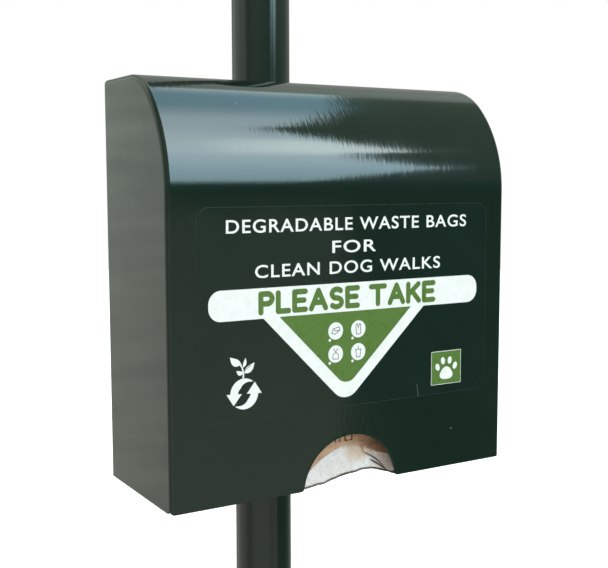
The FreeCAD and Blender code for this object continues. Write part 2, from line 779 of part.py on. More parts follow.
def make_wing_nut(x):
    """Hub with two flared wings, turning on its stud."""
    hub_start = V(x, WING_NUT_REAR_Y - WING_HUB_LENGTH, STUD_Z)
    hub = Part.makeCone(WING_HUB_R - WING_HUB_TAPER, WING_HUB_R, WING_HUB_LENGTH, hub_start, Y_AXIS)
    tip_y = WING_NUT_REAR_Y - WING_HUB_LENGTH - WING_TIP_GAP
    root_y = WING_NUT_REAR_Y - WING_ROOT_GAP
    wing = prism(
        [
            V(x + WING_ROOT_X, root_y, STUD_Z - WING_THICK / 2),
            V(x + WING_SPAN_R, root_y - WING_RISE, STUD_Z - WING_THICK / 2),
            V(x + WING_SPAN_R, tip_y, STUD_Z - WING_THICK / 2),
            V(x + WING_ROOT_X, tip_y + WING_RISE, STUD_Z - WING_THICK / 2),
        ],
        V(0, 0, WING_THICK),
    )

    def is_wing_tip(bounds):
        upright = near(bounds.XMin, bounds.XMax) and near(bounds.YMin, bounds.YMax)
        return upright and near(bounds.XMin, x + WING_SPAN_R)

    wing = fillet_where(wing, WING_TIP_R, is_wing_tip)
    other = wing.mirror(V(x, 0, 0), X_AXIS)
    nut = hub.fuse([wing, other])
    return nut.cut(drill(M8_R + WING_BORE_CLEARANCE, hub_start, Y_AXIS, WING_HUB_LENGTH))


# ---- lock -----------------------------------------------------------------------------------


def lock_point(x):
    return V(x, LOCK_Y, LOCK_Z)


def make_lock_body():
    """Threaded barrel with a flange outside the cheek and a cup round the key triangle."""
    flange = rod(LOCK_FLANGE_R, lock_point(SIDE_X), X_AXIS, LOCK_FLANGE)
    rim_x = SIDE_X + LOCK_FLANGE
    flange = fillet_where(flange, LOCK_EDGE_R, lambda b: near(b.XMin, rim_x) and near(b.XMax, rim_x))
    barrel_start = lock_point(SIDE_X - LOCK_BARREL_LENGTH)
    body = flange.fuse(rod(LOCK_BARREL_R, barrel_start, X_AXIS, LOCK_BARREL_LENGTH))
    bore = rod(PLUG_R + PLUG_CLEARANCE, lock_point(PLUG_INNER_X), X_AXIS, CUP_X - PLUG_INNER_X)
    cup = rod(LOCK_CUP_R, lock_point(CUP_X), X_AXIS, LOCK_CUP_DEPTH + OVER)
    return body.cut([bore, cup])


def make_lock_nut():
    nut_x = INNER_SIDE_X - LOCK_NUT
    blank = polygon_rod(6, hex_corner_r(LOCK_NUT_FLATS), lock_point(nut_x), V(LOCK_NUT, 0, 0))
    return blank.cut(drill(LOCK_BARREL_R, lock_point(nut_x), X_AXIS, LOCK_NUT))


def make_lock_plug():
    """Turning plug; its outer end is a triangle for the key."""
    plug = rod(PLUG_R, lock_point(PLUG_INNER_X), X_AXIS, CUP_X - PLUG_INNER_X)
    triangle = polygon_rod(3, TRIANGLE_R, lock_point(CUP_X), V(TRIANGLE_LENGTH, 0, 0), 90)
    plug = plug.fuse(triangle)
    return plug.cut(rod(CAM_SCREW_R, lock_point(PLUG_INNER_X - OVER), X_AXIS, CAM_SCREW_DEPTH + OVER))


def make_lock_cam():
    """Flat cam that points to the rear when unlocked and up when locked."""
    x_low = PLUG_INNER_X - CAM_THICK
    round_r = CAM_HALF_WIDTH
    hub = rod(round_r, lock_point(x_low), X_AXIS, CAM_THICK)
    blade = block(
        (x_low, PLUG_INNER_X), (LOCK_Y, LOCK_Y + CAM_LENGTH), (LOCK_Z - round_r, LOCK_Z + round_r)
    )

    def is_tip(bounds):
        along_x = near(bounds.YMin, bounds.YMax) and near(bounds.ZMin, bounds.ZMax)
        return along_x and near(bounds.YMin, LOCK_Y + CAM_LENGTH)

    blade = fillet_where(blade, CAM_TIP_R, is_tip)
    cam = hub.fuse(blade).removeSplitter()
    return cam.cut(drill(CAM_SCREW_R + CAM_SCREW_CLEARANCE, lock_point(x_low), X_AXIS, CAM_THICK))


def make_cam_screw():
    head_x = PLUG_INNER_X - CAM_THICK - CAM_SCREW_HEAD
    head = rod(CAM_SCREW_HEAD_R, lock_point(head_x), X_AXIS, CAM_SCREW_HEAD)
    head = fillet_where(head, LOCK_EDGE_R, lambda b: near(b.XMin, head_x) and near(b.XMax, head_x))
    shank_x = head_x + CAM_SCREW_HEAD / 2
    shank = rod(CAM_SCREW_R, lock_point(shank_x), X_AXIS, PLUG_INNER_X + CAM_SCREW_DEPTH - shank_x)
    hexagon = polygon_rod(6, HEX_SOCKET_R, lock_point(head_x - OVER), V(HEX_SOCKET_DEPTH + OVER, 0, 0))
    return head.fuse(shank).cut(hexagon)


def keeper_rivet_heights():
    middle = (KEEPER_LOW_Z + KEEPER_HIGH_Z) / 2
    return (middle - KEEPER_RIVET_OFFSET, middle + KEEPER_RIVET_OFFSET)


def make_lock_keeper():
    """Angle on the right flange whose tab the raised cam sits behind."""
    outer_x = TRAY_SIDE_X - SHEET
    z_range = (KEEPER_LOW_Z, KEEPER_HIGH_Z)
    arm = block((outer_x - KEEPER_THICK, outer_x), (KEEPER_TAB_Y, TRAY_FRONT_Y - KEEPER_REAR_GAP), z_range)
    tab = block((KEEPER_TAB_X, outer_x), (KEEPER_TAB_Y, KEEPER_TAB_Y + KEEPER_THICK), z_range)
    keeper = arm.fuse(tab).removeSplitter()
    arm_x = outer_x - KEEPER_THICK
    holes = [
        drill(RIVET_R, V(arm_x, KEEPER_RIVET_Y, z), X_AXIS, KEEPER_THICK)
        for z in keeper_rivet_heights()
    ]
    return keeper.cut(holes)


def make_keeper_rivets():
    """Rivets with their heads inside, flush on the outside of the flange."""
    head_x = TRAY_SIDE_X - SHEET - KEEPER_THICK
    rivets = []
    for z in keeper_rivet_heights():
        place = V(head_x, KEEPER_RIVET_Y, z)
        shank = rod(RIVET_R, place, X_AXIS, KEEPER_THICK + SHEET)
        head = Part.makeCone(RIVET_HEAD_R, RIVET_HEAD_R / 2, RIVET_HEAD, place, V(-1, 0, 0))
        rivets.append(shank.fuse(head))
    return group(rivets)


# ---- all nodes ------------------------------------------------------------------------------


def all_nodes():
    shell = make_cover_shell()
    bracket = make_stop_bracket()
    buffer_block = make_stop_buffer()
    nodes = {
        "post_tube": make_post_tube(),
        "post_cap": make_post_cap(),
        "lower_saddle_pad": make_saddle_pad(LOWER_STRAP_Z),
        "upper_saddle_pad": make_saddle_pad(UPPER_STRAP_Z),
        "lower_strap": make_strap(LOWER_STRAP_Z),
        "upper_strap": make_strap(UPPER_STRAP_Z),
        "strap_bolts": make_strap_bolts(),
        "strap_washers": make_strap_washers(),
        "strap_nuts": make_strap_nuts(),
        "back_plate": make_back_plate(),
        "hinge_leaf_fixed": make_fixed_leaf(),
        "hinge_leaf_moving": make_moving_leaf(),
        "hinge_pin": make_hinge_pin(),
        "leaf_rivets": make_leaf_rivets(),
        "cover_wrap": make_cover_wrap(shell),
        "cover_side_left": mirrored(make_cover_side(shell)),
        "cover_side_right": make_cover_side_right(shell),
        "label_film": make_label_film(),
        "stop_bracket_right": bracket,
        "stop_bracket_left": mirrored(bracket),
        "stop_buffer_right": buffer_block,
        "stop_buffer_left": mirrored(buffer_block),
        "lock_body": make_lock_body(),
        "lock_nut": make_lock_nut(),
        "lock_plug": make_lock_plug(),
        "lock_cam": make_lock_cam(),
        "cam_screw": make_cam_screw(),
        "lock_keeper": make_lock_keeper(),
        "keeper_rivets": make_keeper_rivets(),
        "hanger_studs": make_hanger_studs(),
        "stud_spacers": make_stud_spacers(),
        "retainer_bar": make_retainer_bar(),
        "wing_nut_left": make_wing_nut(-STUD_X),
        "wing_nut_right": make_wing_nut(STUD_X),
        "pack_folder": make_pack_folder(),
        "front_bag": make_front_bag(),
    }
    for index in range(PACK_COUNT):
        nodes[f"bag_pack_{index + 1}"] = make_bag_pack(index)
        nodes[f"header_card_{index + 1}"] = make_header_card(index)
    return nodes


os.makedirs("parts", exist_ok=True)
for node_name, shape in all_nodes().items():
    if not shape.isValid():
        print("not valid:", node_name)
    shape.exportStep(f"parts/{node_name}.step")
    print(f"{node_name}: {len(shape.Solids)} solid(s), {shape.Volume / 1000:.2f} cm3")
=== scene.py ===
from contextlib import contextmanager
import math
import random

import bmesh
import bpy
from mathutils import Matrix, Vector, noise


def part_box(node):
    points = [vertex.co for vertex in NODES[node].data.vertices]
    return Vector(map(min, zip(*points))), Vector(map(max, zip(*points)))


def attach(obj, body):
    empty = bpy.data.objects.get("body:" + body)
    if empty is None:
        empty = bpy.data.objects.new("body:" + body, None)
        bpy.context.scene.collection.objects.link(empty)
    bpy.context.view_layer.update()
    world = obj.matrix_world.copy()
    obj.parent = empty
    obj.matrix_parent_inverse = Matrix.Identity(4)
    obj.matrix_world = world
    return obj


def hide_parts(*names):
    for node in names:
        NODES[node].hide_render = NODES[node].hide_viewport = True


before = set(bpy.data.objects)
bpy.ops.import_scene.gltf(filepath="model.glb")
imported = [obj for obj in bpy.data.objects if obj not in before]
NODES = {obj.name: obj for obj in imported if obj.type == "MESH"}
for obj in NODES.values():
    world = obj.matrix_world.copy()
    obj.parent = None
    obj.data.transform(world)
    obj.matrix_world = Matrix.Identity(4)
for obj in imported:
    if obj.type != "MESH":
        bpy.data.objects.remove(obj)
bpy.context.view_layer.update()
SCENE = bpy.context.scene
random.seed(7)

# ---- case dimensions, in metres, as in the CAD ------------------------------------------------

SIDE_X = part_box("cover_side_right")[1].x
FRONT_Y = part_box("cover_side_right")[0].y
REAR_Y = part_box("cover_side_right")[1].y
BOTTOM_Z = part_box("cover_side_right")[0].z
TOP_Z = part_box("cover_side_right")[1].z
SHEET = 0.002
CORNER_R = 0.0045
FRONT_ARC_R = 0.1185
ROOF_ARC_R = 0.0687
NOTCH_R = 0.0512
NOTCH_DROP = 0.0044
NOTCH_CORNER_R = 0.004
LOWER_CORNER_R = 0.0035
HINGE_SLOT_Y = -0.0406
HINGE_SLOT_X = 0.1725
SEAM_X = SIDE_X - CORNER_R - 0.0003
LABEL_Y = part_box("label_film")[0].y
PRINT_THICK = 0.00012
FILM_THICK = 0.00012
CARD_THICK = 0.0006
EDGE_ROUND = 0.00035
SEAM_ANGLE = math.radians(30.0)
LOCK_HOLE_R = 0.0096
LABEL_CORNER_R = 0.013
LEAF_BEND = 0.18
LETTER_WEIGHT = 0.012
LETTER_SPACING = 1.12
WORD_STROKE_R = 0.0025


# ---- materials ----------------------------------------------------------------------------------


class Nodes:
    """A node tree, with short names for the nodes that the materials and the world share."""

    def __init__(self, tree):
        self.tree = tree

    def node(self, kind, inputs=None, **settings):
        made = self.tree.nodes.new(kind)
        for key, value in settings.items():
            setattr(made, key, value)
        for key, value in (inputs or {}).items():
            if isinstance(value, bpy.types.NodeSocket):
                self.tree.links.new(value, made.inputs[key])
            else:
                made.inputs[key].default_value = value
        return made

    def ramp(self, factor, stops):
        made = self.node("ShaderNodeValToRGB", {"Fac": factor})
        elements = made.color_ramp.elements
        while len(elements) < len(stops):
            elements.new(0.5)
        for element, (position, colour) in zip(elements, stops):
            element.position = position
            element.color = (*colour, 1) if hasattr(colour, "__len__") else (colour, colour, colour, 1)
        return made.outputs["Color"]

    def maths(self, operation, a, b=0.0, clamp=False):
        return self.node("ShaderNodeMath", {0: a, 1: b}, operation=operation, use_clamp=clamp).outputs[0]

    def product(self, *factors):
        result = factors[0]
        for factor in factors[1:]:
            result = self.maths("MULTIPLY", result, factor)
        return result

    def mix(self, factor, a, b, blend="MIX"):
        made = self.node("ShaderNodeMix", data_type="RGBA", blend_type=blend)
        for socket, value in ((made.inputs[0], factor), (made.inputs[6], a), (made.inputs[7], b)):
            if isinstance(value, bpy.types.NodeSocket):
                self.tree.links.new(value, socket)
            elif hasattr(value, "__len__"):
                socket.default_value = (*value, 1)
            else:
                socket.default_value = value
        return made.outputs[2]

    def remap(self, value, low, high, to_low, to_high, **settings):
        inputs = {0: value, 1: low, 2: high, 3: to_low, 4: to_high}
        return self.node("ShaderNodeMapRange", inputs, **settings).outputs[0]


class Shader(Nodes):
    """A material on one Principled shader."""

    def __init__(self, name, **constants):
        self.material = bpy.data.materials.new(name)
        self.material.use_nodes = True
        super().__init__(self.material.node_tree)
        self.principled = self.tree.nodes["Principled BSDF"]
        for socket, value in constants.items():
            self.principled.inputs[socket.replace("_", " ")].default_value = value
        self.place = self.node("ShaderNodeTexCoord").outputs["Object"]

    def stretched(self, scale, turn=(0, 0, 0)):
        inputs = {"Vector": self.place, "Scale": scale, "Rotation": turn}
        return self.node("ShaderNodeMapping", inputs).outputs[0]

    def noise(self, scale, detail=3.0, rough=0.5, vector=None, distortion=0.0):
        inputs = {
            "Vector": vector or self.place,
            "Scale": scale,
            "Detail": detail,
            "Roughness": rough,
            "Distortion": distortion,
        }
        return self.node("ShaderNodeTexNoise", inputs).outputs["Fac"]

    def varied(self, noise_value, low, high):
        """Spreads the usual range of a noise over two limits."""
        return self.remap(noise_value, 0.3, 0.7, low, high)

    def cells(self, scale, feature="F1", output="Distance"):
        inputs = {"Vector": self.place, "Scale": scale}
        return self.node("ShaderNodeTexVoronoi", inputs, feature=feature).outputs[output]

    def rounded_edges(self, radius):
        return self.node("ShaderNodeBevel", {"Radius": radius}, samples=4).outputs[0]

    def bump(self, height, distance, strength=1.0, under=None):
        inputs = {"Height": height, "Distance": distance, "Strength": strength}
        if under:
            inputs["Normal"] = under
        return self.node("ShaderNodeBump", inputs).outputs[0]

    def use(self, **sockets):
        for socket, output in sockets.items():
            self.tree.links.new(output, self.principled.inputs[socket.replace("_", " ")])
        return self.material


def paint_material():
    """Glossy dark green powder coat: slight orange peel, long soft waves, dust specks, fine scratches."""
    s = Shader("powder_coat", IOR=1.5)
    tone = s.ramp(s.noise(9.0, 4.0), [(0.3, (0.0045, 0.0095, 0.0065)), (0.7, (0.0060, 0.0125, 0.0085))])
    specks = s.ramp(s.cells(420.0), [(0.03, 1.0), (0.07, 0.0)])
    rare = s.ramp(s.noise(55.0, 2.0), [(0.66, 0.0), (0.72, 1.0)])
    dusty = s.mix(s.maths("MULTIPLY", specks, rare), tone, (0.09, 0.10, 0.09))
    scratch_zone = s.ramp(s.noise(14.0, 1.0), [(0.60, 0.0), (0.68, 1.0)])
    upright = s.stretched((1.0, 1.0, 0.035))
    scratches = s.ramp(s.noise(90.0, 1.0, vector=upright), [(0.775, 0.0), (0.79, 1.0)])
    colour = s.mix(s.maths("MULTIPLY", scratch_zone, scratches), dusty, (0.05, 0.06, 0.055))
    gloss = s.varied(s.noise(22.0, 5.0), 0.07, 0.11)
    wave = s.bump(s.noise(9.0, 2.0), 0.00025)
    ripple = s.bump(s.noise(300.0, 2.0, vector=s.stretched((1.0, 0.3, 0.3))), 0.000045, under=wave)
    peel = s.bump(s.noise(700.0, 2.0), 0.000005, under=ripple)
    return s.use(Base_Color=colour, Roughness=gloss, Normal=peel)


def post_material():
    """The post's older gloss paint: drawn-tube lines along its length, duller than the case."""
    s = Shader("post_paint", IOR=1.5)
    along = s.stretched((1.0, 1.0, 0.012))
    greens = [(0.35, (0.0055, 0.0095, 0.0070)), (0.65, (0.0105, 0.0125, 0.0090))]
    tone = s.ramp(s.noise(120.0, 3.0, vector=along), greens)
    grime = s.ramp(s.noise(16.0, 5.0), [(0.50, 0.0), (0.72, 0.5)])
    colour = s.mix(grime, tone, (0.018, 0.016, 0.011))
    gloss = s.varied(s.noise(34.0, 4.0), 0.10, 0.19)
    lines = s.bump(s.noise(110.0, 2.0, vector=along), 0.0006)
    peel = s.bump(s.noise(420.0, 2.0), 0.000010, under=lines)
    return s.use(Base_Color=colour, Roughness=gloss, Normal=peel)


def film_cover_material():
    """Clear self-adhesive film over the paint: smoother than the coat, with tiny bubbles."""
    s = Shader("clear_label_film", IOR=1.48)
    tone = s.ramp(s.noise(30.0, 3.0), [(0.3, (0.0045, 0.0110, 0.0078)), (0.7, (0.0060, 0.0135, 0.0098))])
    gloss = s.varied(s.noise(60.0, 4.0), 0.06, 0.10)
    wave = s.bump(s.noise(9.0, 2.0), 0.00022)
    dots = s.ramp(s.cells(95.0), [(0.0, 1.0), (0.06, 0.0)])
    few = s.ramp(s.noise(38.0, 1.0), [(0.62, 0.0), (0.66, 1.0)])
    bubbles = s.bump(s.maths("MULTIPLY", dots, few), 0.00004, under=wave)
    return s.use(Base_Color=tone, Roughness=gloss, Normal=bubbles)


def print_material(name, colour, darker):
    """Printed ink with a slight mottle and faint wear. The same finish also makes the painted fold shadow and
    the label film's painted edge highlight.
    """
    s = Shader(name, IOR=1.48)
    tone = s.mix(s.ramp(s.noise(140.0, 4.0), [(0.35, 0.0), (0.75, 1.0)]), colour, darker)
    gloss = s.varied(s.noise(80.0, 4.0), 0.24, 0.36)
    return s.use(Base_Color=tone, Roughness=gloss, Normal=s.bump(s.noise(900.0, 2.0), 0.000008))


def metal_material(name, colour, darker, roughness, grain, scale=(1, 1, 1)):
    """Bare or plated metal with rounded edges, a grain direction and dull patches."""
    s = Shader(name, Metallic=1.0)
    patches = s.noise(70.0, 5.0)
    tone = s.mix(s.ramp(patches, [(0.35, 0.0), (0.7, 1.0)]), colour, darker)
    gloss = s.varied(s.noise(grain, 4.0, vector=s.stretched(scale)), roughness - 0.07, roughness + 0.10)
    rounded = s.rounded_edges(0.0004)
    lines = s.bump(s.noise(grain, 3.0, vector=s.stretched(scale)), 0.00002, under=rounded)
    return s.use(Base_Color=tone, Roughness=gloss, Normal=lines)


def zinc_material():
    """Bright zinc plate with a faint spangle."""
    s = Shader("zinc_plate", Metallic=1.0)
    spangle = s.cells(420.0, output="Color")
    plate = s.mix(s.noise(60.0, 5.0), (0.60, 0.61, 0.62), (0.40, 0.41, 0.43))
    tone = s.mix(0.12, plate, spangle, "SOFT_LIGHT")
    gloss = s.varied(s.noise(120.0, 4.0), 0.26, 0.46)
    rounded = s.rounded_edges(0.0004)
    grain = s.bump(s.noise(1500.0, 3.0), 0.00002, under=rounded)
    return s.use(Base_Color=tone, Roughness=gloss, Normal=grain)


def rubber_material(name, colour, roughness, grain):
    """Rubber or moulded plastic: rounded edges, a fine grain and uneven gloss."""
    s = Shader(name, IOR=1.45)
    tone = s.mix(s.noise(50.0, 4.0), colour, tuple(c * 1.8 + 0.004 for c in colour))
    gloss = s.varied(s.noise(90.0, 3.0), roughness - 0.08, roughness + 0.08)
    rounded = s.rounded_edges(0.0005)
    skin = s.bump(s.noise(grain, 3.0), 0.00005, under=rounded)
    return s.use(Base_Color=tone, Roughness=gloss, Normal=skin)


def kraft_material(with_painted_shade=False):
    """Unbleached card: crossed fibres, dark flecks and a matt face; with_painted_shade adds a painted shadow
    beside the arch.
    """
    s = Shader("kraft_card", Specular_IOR_Level=0.3)
    along = s.noise(60.0, 5.0, 0.65, s.stretched((1.0, 1.0, 14.0)))
    across = s.noise(75.0, 5.0, 0.65, s.stretched((12.0, 1.0, 1.0), (0, 0.3, 0)))
    fibres = s.maths("ADD", s.maths("MULTIPLY", along, 0.5), s.maths("MULTIPLY", across, 0.5))
    browns = [(0.32, (0.31, 0.19, 0.115)), (0.52, (0.47, 0.31, 0.205)), (0.70, (0.60, 0.43, 0.31))]
    tone = s.ramp(fibres, browns)
    flecks = s.ramp(s.noise(620.0, 2.0, vector=s.stretched((1.0, 1.0, 0.35))), [(0.66, 0.0), (0.72, 1.0)])
    colour = s.mix(s.maths("MULTIPLY", flecks, 0.7), tone, (0.13, 0.07, 0.035))
    if with_painted_shade:
        # painted shadow: dark brown laid on the card right of the arch's top and just above the arch, with a
        # noisy edge
        place = s.node("ShaderNodeSeparateXYZ", {0: s.place}).outputs
        shadow_wobble = s.varied(s.noise(40.0, 4.0, vector=s.stretched((1.0, 1.0, 3.0))), -0.010, 0.010)
        reach = s.remap(s.maths("ADD", place[0], shadow_wobble), 0.004, 0.045, 0.0, 0.78)
        near_edge = s.remap(place[2], BOTTOM_Z + 0.036, BOTTOM_Z + 0.060, 1.0, 0.0)
        reach = s.product(reach, near_edge)
        colour = s.mix(reach, colour, (0.060, 0.028, 0.012))
    gloss = s.varied(fibres, 0.78, 0.92)
    coarse = s.bump(s.noise(45.0, 4.0), 0.0006)
    return s.use(Base_Color=colour, Roughness=gloss, Normal=s.bump(fibres, 0.00012, under=coarse))


def film_material(name, light, dark, tan, see_through_spot=None):
    """Thin compostable film: milky and see-through, crinkled, tinted where it lies double. Its crinkle greys
    and crease lines are painted highlight and shade, and see_through_spot paints the card behind it as a tan
    patch.
    """
    s = Shader(name, IOR=1.5, Subsurface_Weight=0.35, Subsurface_Scale=0.0012)
    s.principled.inputs["Subsurface Radius"].default_value = (1.0, 0.8, 0.6)
    crinkle = s.noise(55.0, 6.0, 0.62, s.stretched((1.0, 1.0, 0.55)), 0.6)
    # painted highlight and shade: the crinkle noise turned into lighter and darker greys
    tone = s.ramp(crinkle, [(0.30, dark), (0.55, light)])
    tint = s.ramp(s.noise(17.0, 3.0, vector=s.stretched((1.0, 1.0, 1.4))), [(0.50, 0.0), (0.66, 1.0)])
    swirl = s.noise(210.0, 2.0, 0.55, distortion=1.8)
    # painted shade: dark lines along the crinkles' creases
    crease_lines = [(0.40, 0.0), (0.44, 0.85), (0.48, 0.0), (0.53, 0.0), (0.57, 0.70), (0.61, 0.0)]
    creases = s.ramp(swirl, crease_lines)
    tone = s.mix(creases, tone, tuple(0.55 * part for part in light))
    # painted see-through colour: a tan patch where the card lies behind the film, in place of the random tint
    if see_through_spot:
        x, z, reach = see_through_spot
        place = s.node("ShaderNodeSeparateXYZ", {0: s.place}).outputs
        across = s.maths("DIVIDE", s.maths("SUBTRACT", place[0], x), reach)
        upward = s.maths("DIVIDE", s.maths("SUBTRACT", place[2], z), reach * 0.62)
        away = s.maths("ADD", s.maths("MULTIPLY", across, across), s.maths("MULTIPLY", upward, upward))
        away = s.maths("ADD", away, s.varied(crinkle, -0.5, 0.5))
        tint = s.remap(away, 0.4, 1.3, 1.0, 0.0)
    colour = s.mix(s.maths("MULTIPLY", tint, 0.75), tone, tan)
    gloss = s.varied(s.noise(130.0, 4.0), 0.22, 0.42)
    folds = s.bump(s.noise(38.0, 5.0, 0.6, s.stretched((1.0, 1.0, 0.5)), 0.9), 0.0030)
    fine = s.bump(s.cells(210.0, "DISTANCE_TO_EDGE", "Distance"), 0.0005, 0.6, folds)
    return s.use(Base_Color=colour, Roughness=gloss, Normal=fine)


MATERIALS = {
    "green_paint": paint_material(),
    "zinc_steel": zinc_material(),
    "stainless": metal_material(
        "brushed_stainless", (0.56, 0.55, 0.53), (0.42, 0.41, 0.40), 0.30, 300.0, (0.05, 1, 1)
    ),
    "nickel": metal_material("satin_nickel", (0.62, 0.58, 0.51), (0.50, 0.46, 0.40), 0.20, 500.0),
    "black_plastic": rubber_material("moulded_plastic", (0.016, 0.016, 0.017), 0.42, 1400.0),
    "black_rubber": rubber_material("black_rubber", (0.012, 0.012, 0.012), 0.66, 700.0),
    "kraft_card": kraft_material(),
    "bag_film": film_material(
        "bag_film",
        (0.90, 0.85, 0.84),
        (0.70, 0.65, 0.63),
        (0.66, 0.48, 0.34),
        # the tan patch painted where the card shows through the film
        see_through_spot=(0.018, BOTTOM_Z + 0.0255, 0.017),
    ),
    "label_film": film_cover_material(),
    "label_white": print_material("label_white_ink", (0.82, 0.84, 0.84), (0.74, 0.77, 0.77)),
    "label_green": print_material("label_green_ink", (0.089, 0.170, 0.031), (0.080, 0.155, 0.028)),
}
DARK_INK = print_material("label_dark_ink", (0.012, 0.020, 0.016), (0.018, 0.028, 0.022))
GLYPH_INK = print_material("label_grey_ink", (0.07, 0.06, 0.07), (0.20, 0.18, 0.20))
# painted shadow: the dark colour of the hem line, the turned corner's edge and the crease, standing for shade
# in the film's folds
FOLD_SHADOW_DARK = print_material("film_fold_shadow", (0.060, 0.045, 0.036), (0.13, 0.10, 0.08))
PACK_FILM = film_material("bundled_film", (0.76, 0.74, 0.69), (0.62, 0.59, 0.54), (0.62, 0.55, 0.45))
# the folder's card, with a painted shadow beside the arch
FOLDER_CARD_PAINTED_SHADE = kraft_material(with_painted_shade=True)
CARD_INK = print_material("card_black_ink", (0.030, 0.024, 0.020), (0.07, 0.05, 0.04))

POST_PAINT = post_material()

for cad_node in NODES.values():
    for index, material in enumerate(cad_node.data.materials):
        cad_node.material_slots[index].material = MATERIALS[material.name.split(".")[0]]


# ---- making pieces --------------------------------------------------------------------------------


def add_piece(name, mesh, body, slot, material=None, replaces=()):
    """Puts a mesh made in the row frame on its body, with its finish and the nodes that it stands for."""
    piece = bpy.data.objects.new(name, mesh)
    SCENE.collection.objects.link(piece)
    mesh.materials.clear()
    mesh.materials.append(material or MATERIALS[slot])
    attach(piece, body)
    if replaces:
        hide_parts(*replaces)
    return piece


def mesh_from(name, points, faces, smooth=True):
    mesh = bpy.data.meshes.new(name)
    mesh.from_pydata([tuple(p) for p in points], [], faces)
    mesh.validate()
    for polygon in mesh.polygons:
        polygon.use_smooth = smooth
    return mesh


def grid_faces(rows, columns, start=0, flip=False):
    faces = []
    for r in range(rows - 1):
        for c in range(columns - 1):
            a = start + r * columns + c
            face = (a, a + 1, a + 1 + columns, a + columns)
            faces.append(face[::-1] if flip else face)
    return faces


def evaluated_mesh(thing):
    graph = bpy.context.evaluated_depsgraph_get()
    graph.update()
    return bpy.data.meshes.new_from_object(thing.evaluated_get(graph))


def bake_modifiers(piece):
    """Turns the modifiers so far into plain mesh."""
    mesh = evaluated_mesh(piece)
    piece.modifiers.clear()
    old = piece.data
    piece.data = mesh
    bpy.data.meshes.remove(old)


def curve_mesh(curve):
    """Turns a curve or a text into plain mesh, and removes it."""
    maker = bpy.data.objects.new(curve.name, curve)
    SCENE.collection.objects.link(maker)
    mesh = evaluated_mesh(maker)
    bpy.data.objects.remove(maker)
    bpy.data.curves.remove(curve)
    return mesh


@contextmanager
def edited(mesh):
    """Opens a mesh for editing and writes it back."""
    build = bmesh.new()
    build.from_mesh(mesh)
    yield build
    build.to_mesh(mesh)
    build.free()


def thicken(piece, thickness, offset=-1.0):
    """Gives a surface its thickness, inward unless the offset says otherwise."""
    made = piece.modifiers.new("thickness", "SOLIDIFY")
    made.thickness = thickness
    made.offset = offset
    made.use_even_offset = True
    bake_modifiers(piece)


def weight_normals(piece):
    normals = piece.modifiers.new("normals", "WEIGHTED_NORMAL")
    normals.keep_sharp = True


def on_seam(edge):
    """Whether an edge runs along the weld between the wrap and a cheek."""
    return all(abs(abs(end.co.x) - SEAM_X) < 1e-5 for end in edge.verts)


def soften_edges(piece):
    """Rounds the cut edges of a sheet and leaves its seams sharp."""
    with edited(piece.data) as build:
        weight = build.edges.layers.float.new("bevel_weight_edge")
        for edge in build.edges:
            if len(edge.link_faces) != 2 or edge.calc_face_angle(0.0) <= SEAM_ANGLE:
                continue
            if on_seam(edge):
                edge.smooth = False
            else:
                edge[weight] = 1.0
    bevel = piece.modifiers.new("edges", "BEVEL")
    bevel.limit_method = "WEIGHT"
    bevel.width = EDGE_ROUND
    bevel.segments = 2
    weight_normals(piece)


# ---- case cover: one sheet over the front and roof, and two cheeks with rounded rims --------------

ARC_STEP = FRONT_ARC_R - ROOF_ARC_R
ARC_START_Z = TOP_Z - ROOF_ARC_R - ARC_STEP * math.sin(math.pi / 4)
FRONT_CENTRE = (FRONT_Y + FRONT_ARC_R, ARC_START_Z)
ROOF_CENTRE = (
    FRONT_CENTRE[0] - ARC_STEP * math.cos(math.pi / 4),
    FRONT_CENTRE[1] + ARC_STEP * math.sin(math.pi / 4),
)
ARC_SEGMENTS = 40
FLAT_FROM_Z = 0.240


def case_profile():
    """(y, z, outward y, outward z) from the flat front over both arcs to the roof's rear."""
    rows = [(FRONT_Y, z, -1.0, 0.0) for z in (FLAT_FROM_Z, 0.30, 0.38, ARC_START_Z - 0.002)]
    for centre, radius, start in ((FRONT_CENTRE, FRONT_ARC_R, 0), (ROOF_CENTRE, ROOF_ARC_R, 1)):
        for i in range(ARC_SEGMENTS + 1):
            if start and i == 0:
                continue
            angle = (start + i / ARC_SEGMENTS) * math.pi / 4
            out_y, out_z = -math.cos(angle), math.sin(angle)
            rows.append((centre[0] + radius * out_y, centre[1] + radius * out_z, out_y, out_z))
    crown_y = rows[-1][0]
    rows.append((crown_y + 0.002, TOP_Z, 0.0, 1.0))
    rows.append((HINGE_SLOT_Y, TOP_Z, 0.0, 1.0))
    return rows


PROFILE = case_profile()


def notch_edge():
    """The wrap's lower edge from left to right, round the bag notch."""
    circle = Vector((0.0, BOTTOM_Z - NOTCH_DROP))
    rise = NOTCH_DROP + NOTCH_CORNER_R
    reach = math.sqrt((NOTCH_R + NOTCH_CORNER_R) ** 2 - rise**2)
    tangent = math.atan2(rise, reach)
    half = []
    for i in range(9):
        angle = math.radians(-90) - (math.radians(90) - tangent) * i / 8
        height = BOTTOM_Z + NOTCH_CORNER_R * (1 + math.sin(angle))
        half.append(Vector((reach + NOTCH_CORNER_R * math.cos(angle), height)))
    steps = 28
    for i in range(1, steps + 1):
        angle = tangent + (math.pi / 2 - tangent) * i / steps
        half.append(circle + NOTCH_R * Vector((math.cos(angle), math.sin(angle))))
    left = [Vector((-p.x, p.y)) for p in half]
    return left + half[-2::-1]


